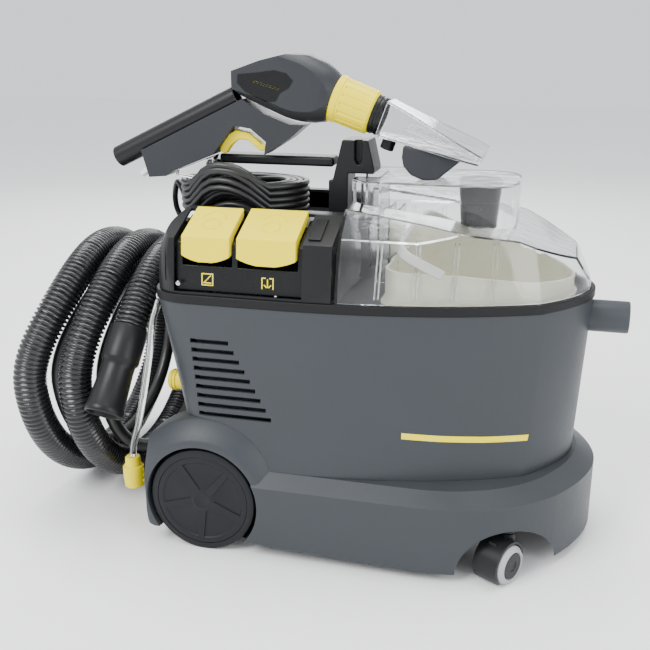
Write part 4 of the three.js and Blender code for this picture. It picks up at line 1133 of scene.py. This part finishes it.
def make_tool_tube():
    tube = lathe([(0, 9.5), (0, 11.4), (0.8, 12), (tube_length, 12), (tube_length, 9.5)])
    return along_tube(tube)


def head_block(grow=0.0):
    """The head's bulb, flattened on its sides; grow makes the whole of it that much larger."""
    outline = [(-110, -13), *SEAM, (0, -29), (4.7, -27), (4.7, 27), (-12, 31), (-35, 32), (-56, 26), (-82, 9)]
    belly = through([(-112, 32, 0), (-70, 35, 0), (-35, 36.5, 0), (-10, 32, 0), (4.7, 25.5, 0)], 5)
    profile = [(-112 - grow, 0), *[(p.x, p.y + grow) for p in belly], (4.7, 0)]
    half = [(p.x, p.y + grow) for p in through([(-112, 14, 0), (-98, 18, 0), (-72, 25, 0), (-48, 27, 0), (5, 27, 0)], 4)]
    plan = prism(half + [(x, -y) for x, y in reversed(half)], -60, 60)
    return common(slab("xz", outline, -40, 40), lathe(profile, "x", (0, 0, -2), 72), plan)


def make_head():
    return cut(head_block(), tube_room())


def make_grip():
    top_edge = [(x, z - 0.6) for x, z in reversed(SEAM)]
    outline = [(-186, -131), (-166, -159), (-147, -150), (-141, -141), (-101, -105), (-89, -67), (-70, -63), (-49, -70),
               (-46, -84), (-39, -75), (-25, -57), *top_edge, (-108, -36)]
    pocket = [(-106, -112), (-104, -74), (-90, -53), (-68, -50), (-42, -62), (-42, -82), (-60, -120)]
    above_tube = along_tube(box((-30, 175), (-40, 40), (-6, 60)))
    return cut(slab("xz", outline, -15, 15), slab("xz", pocket, -7, 7), tube_room(), above_tube)


def make_nut():
    profile = [(5, 19.5), (5, 24.8), (6, 25.5), (12, 25.4), (13, 24.6), (40, 24.0), (48, 23.5), (50, 21.5), (50, 19.5)]
    blank = lathe(profile, "x")
    count = 16
    grooves = []
    for i in range(count):
        a = FULL * i / count
        grooves.append(rod("x", 15, 46, 2.1, (0, 25.2 * math.cos(a), 25.2 * math.sin(a)), 16))
    return cut(blank, *grooves)


def nozzle_block(inset, past):
    x0, length = 62.3, 113

    def shape(x, y, z):
        t = (x - x0) / length
        half = 20 + 28 * smooth(t) - inset
        return (x, y * half, (20 - 13 * t - inset) if z > 0 else (-19 + 16 * t + inset))

    made = slab("yz", [(-1, -1), (1, -1), (1, 1), (-1, 1)], x0 - past, x0 + length + past, 14)
    for vert in made.verts:
        vert.co = shape(*vert.co)
    return made


def make_nozzle():
    ribs = [box((90, 168), (y - 0.7, y + 0.7), (-1.5, 3)) for y in (-14, 0, 14)]
    return gather(cut(nozzle_block(0, 0), nozzle_block(1.8, 1)), *ribs)


def make_fin():
    outline = [(95, -15), (98, -27), (103, -35), (113, -40.5), (127, -41), (141, -35), (157, -6.5)]
    return cut(slab("xz", outline, -30, 30), nozzle_block(-GAP, 0))


tool_parts = {
    "tool_tube": (make_tool_tube(), BLACK, "black_plastic", 0.0),
    "tool_head": (make_head(), TOOL_GREY, "grey_plastic", 3.0),
    "tool_grip": (make_grip(), TOOL_GREY, "grey_plastic", 2.5),
    "nozzle_fin": (make_fin(), TOOL_GREY, "grey_plastic", 2.5),
    "spray_nozzle": (make_nozzle(), CLEAR, "clear_plastic", 0.6),
}
for node, (made, look, slot, soft) in tool_parts.items():
    piece(f"{node}_look", made, "tool", node, look, slot, soft, 4, place=TOOL)
nut = piece("coupling_nut_look", make_nut(), "nut", "coupling_nut", YELLOW, "yellow_plastic", 0.5, 2, place=TOOL)
collar_profile = [(5.3, 15), (5.3, 19.2), (50.3, 19.2), (50.3, 20.4), (51, 21), (54, 20.9), (55, 19.9), (57, 19.9),
                  (58, 20.7), (61, 20.2), (62, 19.4), (62, 15)]
collar = piece("nozzle_collar_look", lathe(collar_profile), "tool", "nozzle_collar", BLACK, "black_plastic", place=TOOL)
trigger = soften("tool_trigger", YELLOW, "yellow_plastic", 1.8, 3)
valve = soften("tool_valve", STEEL, "bright_steel", 0.4)
knob = soften("spray_knob", BLACK, "black_plastic", 0.8)
nipple = soften("spray_nipple", WHITE, "white_plastic", 0.6)


def make_head_panel():
    """The darker inlaid panel on each side of the head, and its pale slot line."""
    line = [(-101, -13), (-80, -3), (-62, 6.5), (-48, 8.5), (-38, 4), (-40, -5), (-47, -13), (-49, -23), (-60, -28),
            (-86, -26.5), (-98, -22)]
    skin = cut(head_block(0.35), head_block(-0.4))
    sides = [slab("xz", line, *sorted((side * 4, side * 40))) for side in SIDES.values()]
    return cut(gather(*[common(skin.copy(), side) for side in sides]), tube_room())


def make_head_slot():
    line = [(-80, -11.6), (-50, -9), (-49.6, -10.8), (-79.6, -13.6)]
    skin = cut(head_block(0.7), head_block(-0.4))
    return gather(*[common(skin.copy(), slab("xz", line, *sorted((side * 4, side * 40)))) for side in SIDES.values()])


head_panel = piece("head_panel", make_head_panel(), "tool", (), SATIN, "black_plastic", 0.6, 2, place=TOOL)
head_slot = piece("head_slot", make_head_slot(), "tool", (), PALE, "yellow_plastic", 0.2, 2, place=TOOL)
elbow_line = [(-139.5, -147), (-112, -141), (-101.5, -128), (-101.5, -107), (-139.5, -140.5)]
clear_elbow = piece("grip_elbow", slab("xz", elbow_line, -8, 8), "tool", (), CLEAR_TUBE, "clear_plastic", 1.5, 3,
                    place=TOOL)

# ---------------------------------------------------------------- hidden pieces keep their CAD shape
HIDDEN = {
    "base_pan": BLACK, "bulkhead": BLACK, "fresh_tank": WHITE, "switch_block": BLACK, "suction_motor": STEEL,
    "motor_seal": SEAL, "motor_rotor": STEEL, "spray_pump": BLACK,
}
for node, look in HIDDEN.items():
    mesh = frame["nodes"][node].data
    mesh.materials.clear()
    mesh.materials.append(look)

# ---------------------------------------------------------------- floor and light
FLOOR_HALF = 6000


def make_floor():
    mesh = bpy.data.meshes.new("floor")
    made = bmesh.new()
    bmesh.ops.create_grid(made, x_segments=1, y_segments=1, size=FLOOR_HALF * MM)
    made.to_mesh(mesh)
    made.free()
    material = bpy.data.materials.new("pale floor")
    material.use_nodes = True
    shader = material.node_tree.nodes["Principled BSDF"]
    shader.inputs["Base Color"].default_value = (0.95, 0.95, 0.95, 1)
    shader.inputs["Roughness"].default_value = 0.6
    mesh.materials.append(material)
    floor = bpy.data.objects.new("floor", mesh)
    bpy.context.scene.collection.objects.link(floor)


def area_light(name, place, target, size, power):
    data = bpy.data.lights.new(name, "AREA")
    data.shape = "RECTANGLE"
    data.size, data.size_y = size
    data.energy = power
    lamp = bpy.data.objects.new(name, data)
    bpy.context.scene.collection.objects.link(lamp)
    lamp.location = place
    lamp.rotation_euler = (Vector(target) - Vector(place)).to_track_quat("-Z", "Y").to_euler()


make_floor()
world = bpy.data.worlds.new("studio")
world.use_nodes = True
world.node_tree.nodes["Background"].inputs["Color"].default_value = (0.95, 0.97, 1.0, 1)
world.node_tree.nodes["Background"].inputs["Strength"].default_value = 1.2
bpy.context.scene.world = world
MIDDLE = (0, 0, 0.25)
area_light("key", (-1.1, -1.6, 1.9), MIDDLE, (1.2, 1.2), 66)
area_light("fill", (1.9, -1.2, 1.0), MIDDLE, (1.0, 1.6), 24)
area_light("top", (0.1, 0.3, 2.2), MIDDLE, (1.6, 1.0), 38)
area_light("rim", (-0.6, 1.9, 1.2), MIDDLE, (1.6, 0.8), 22)
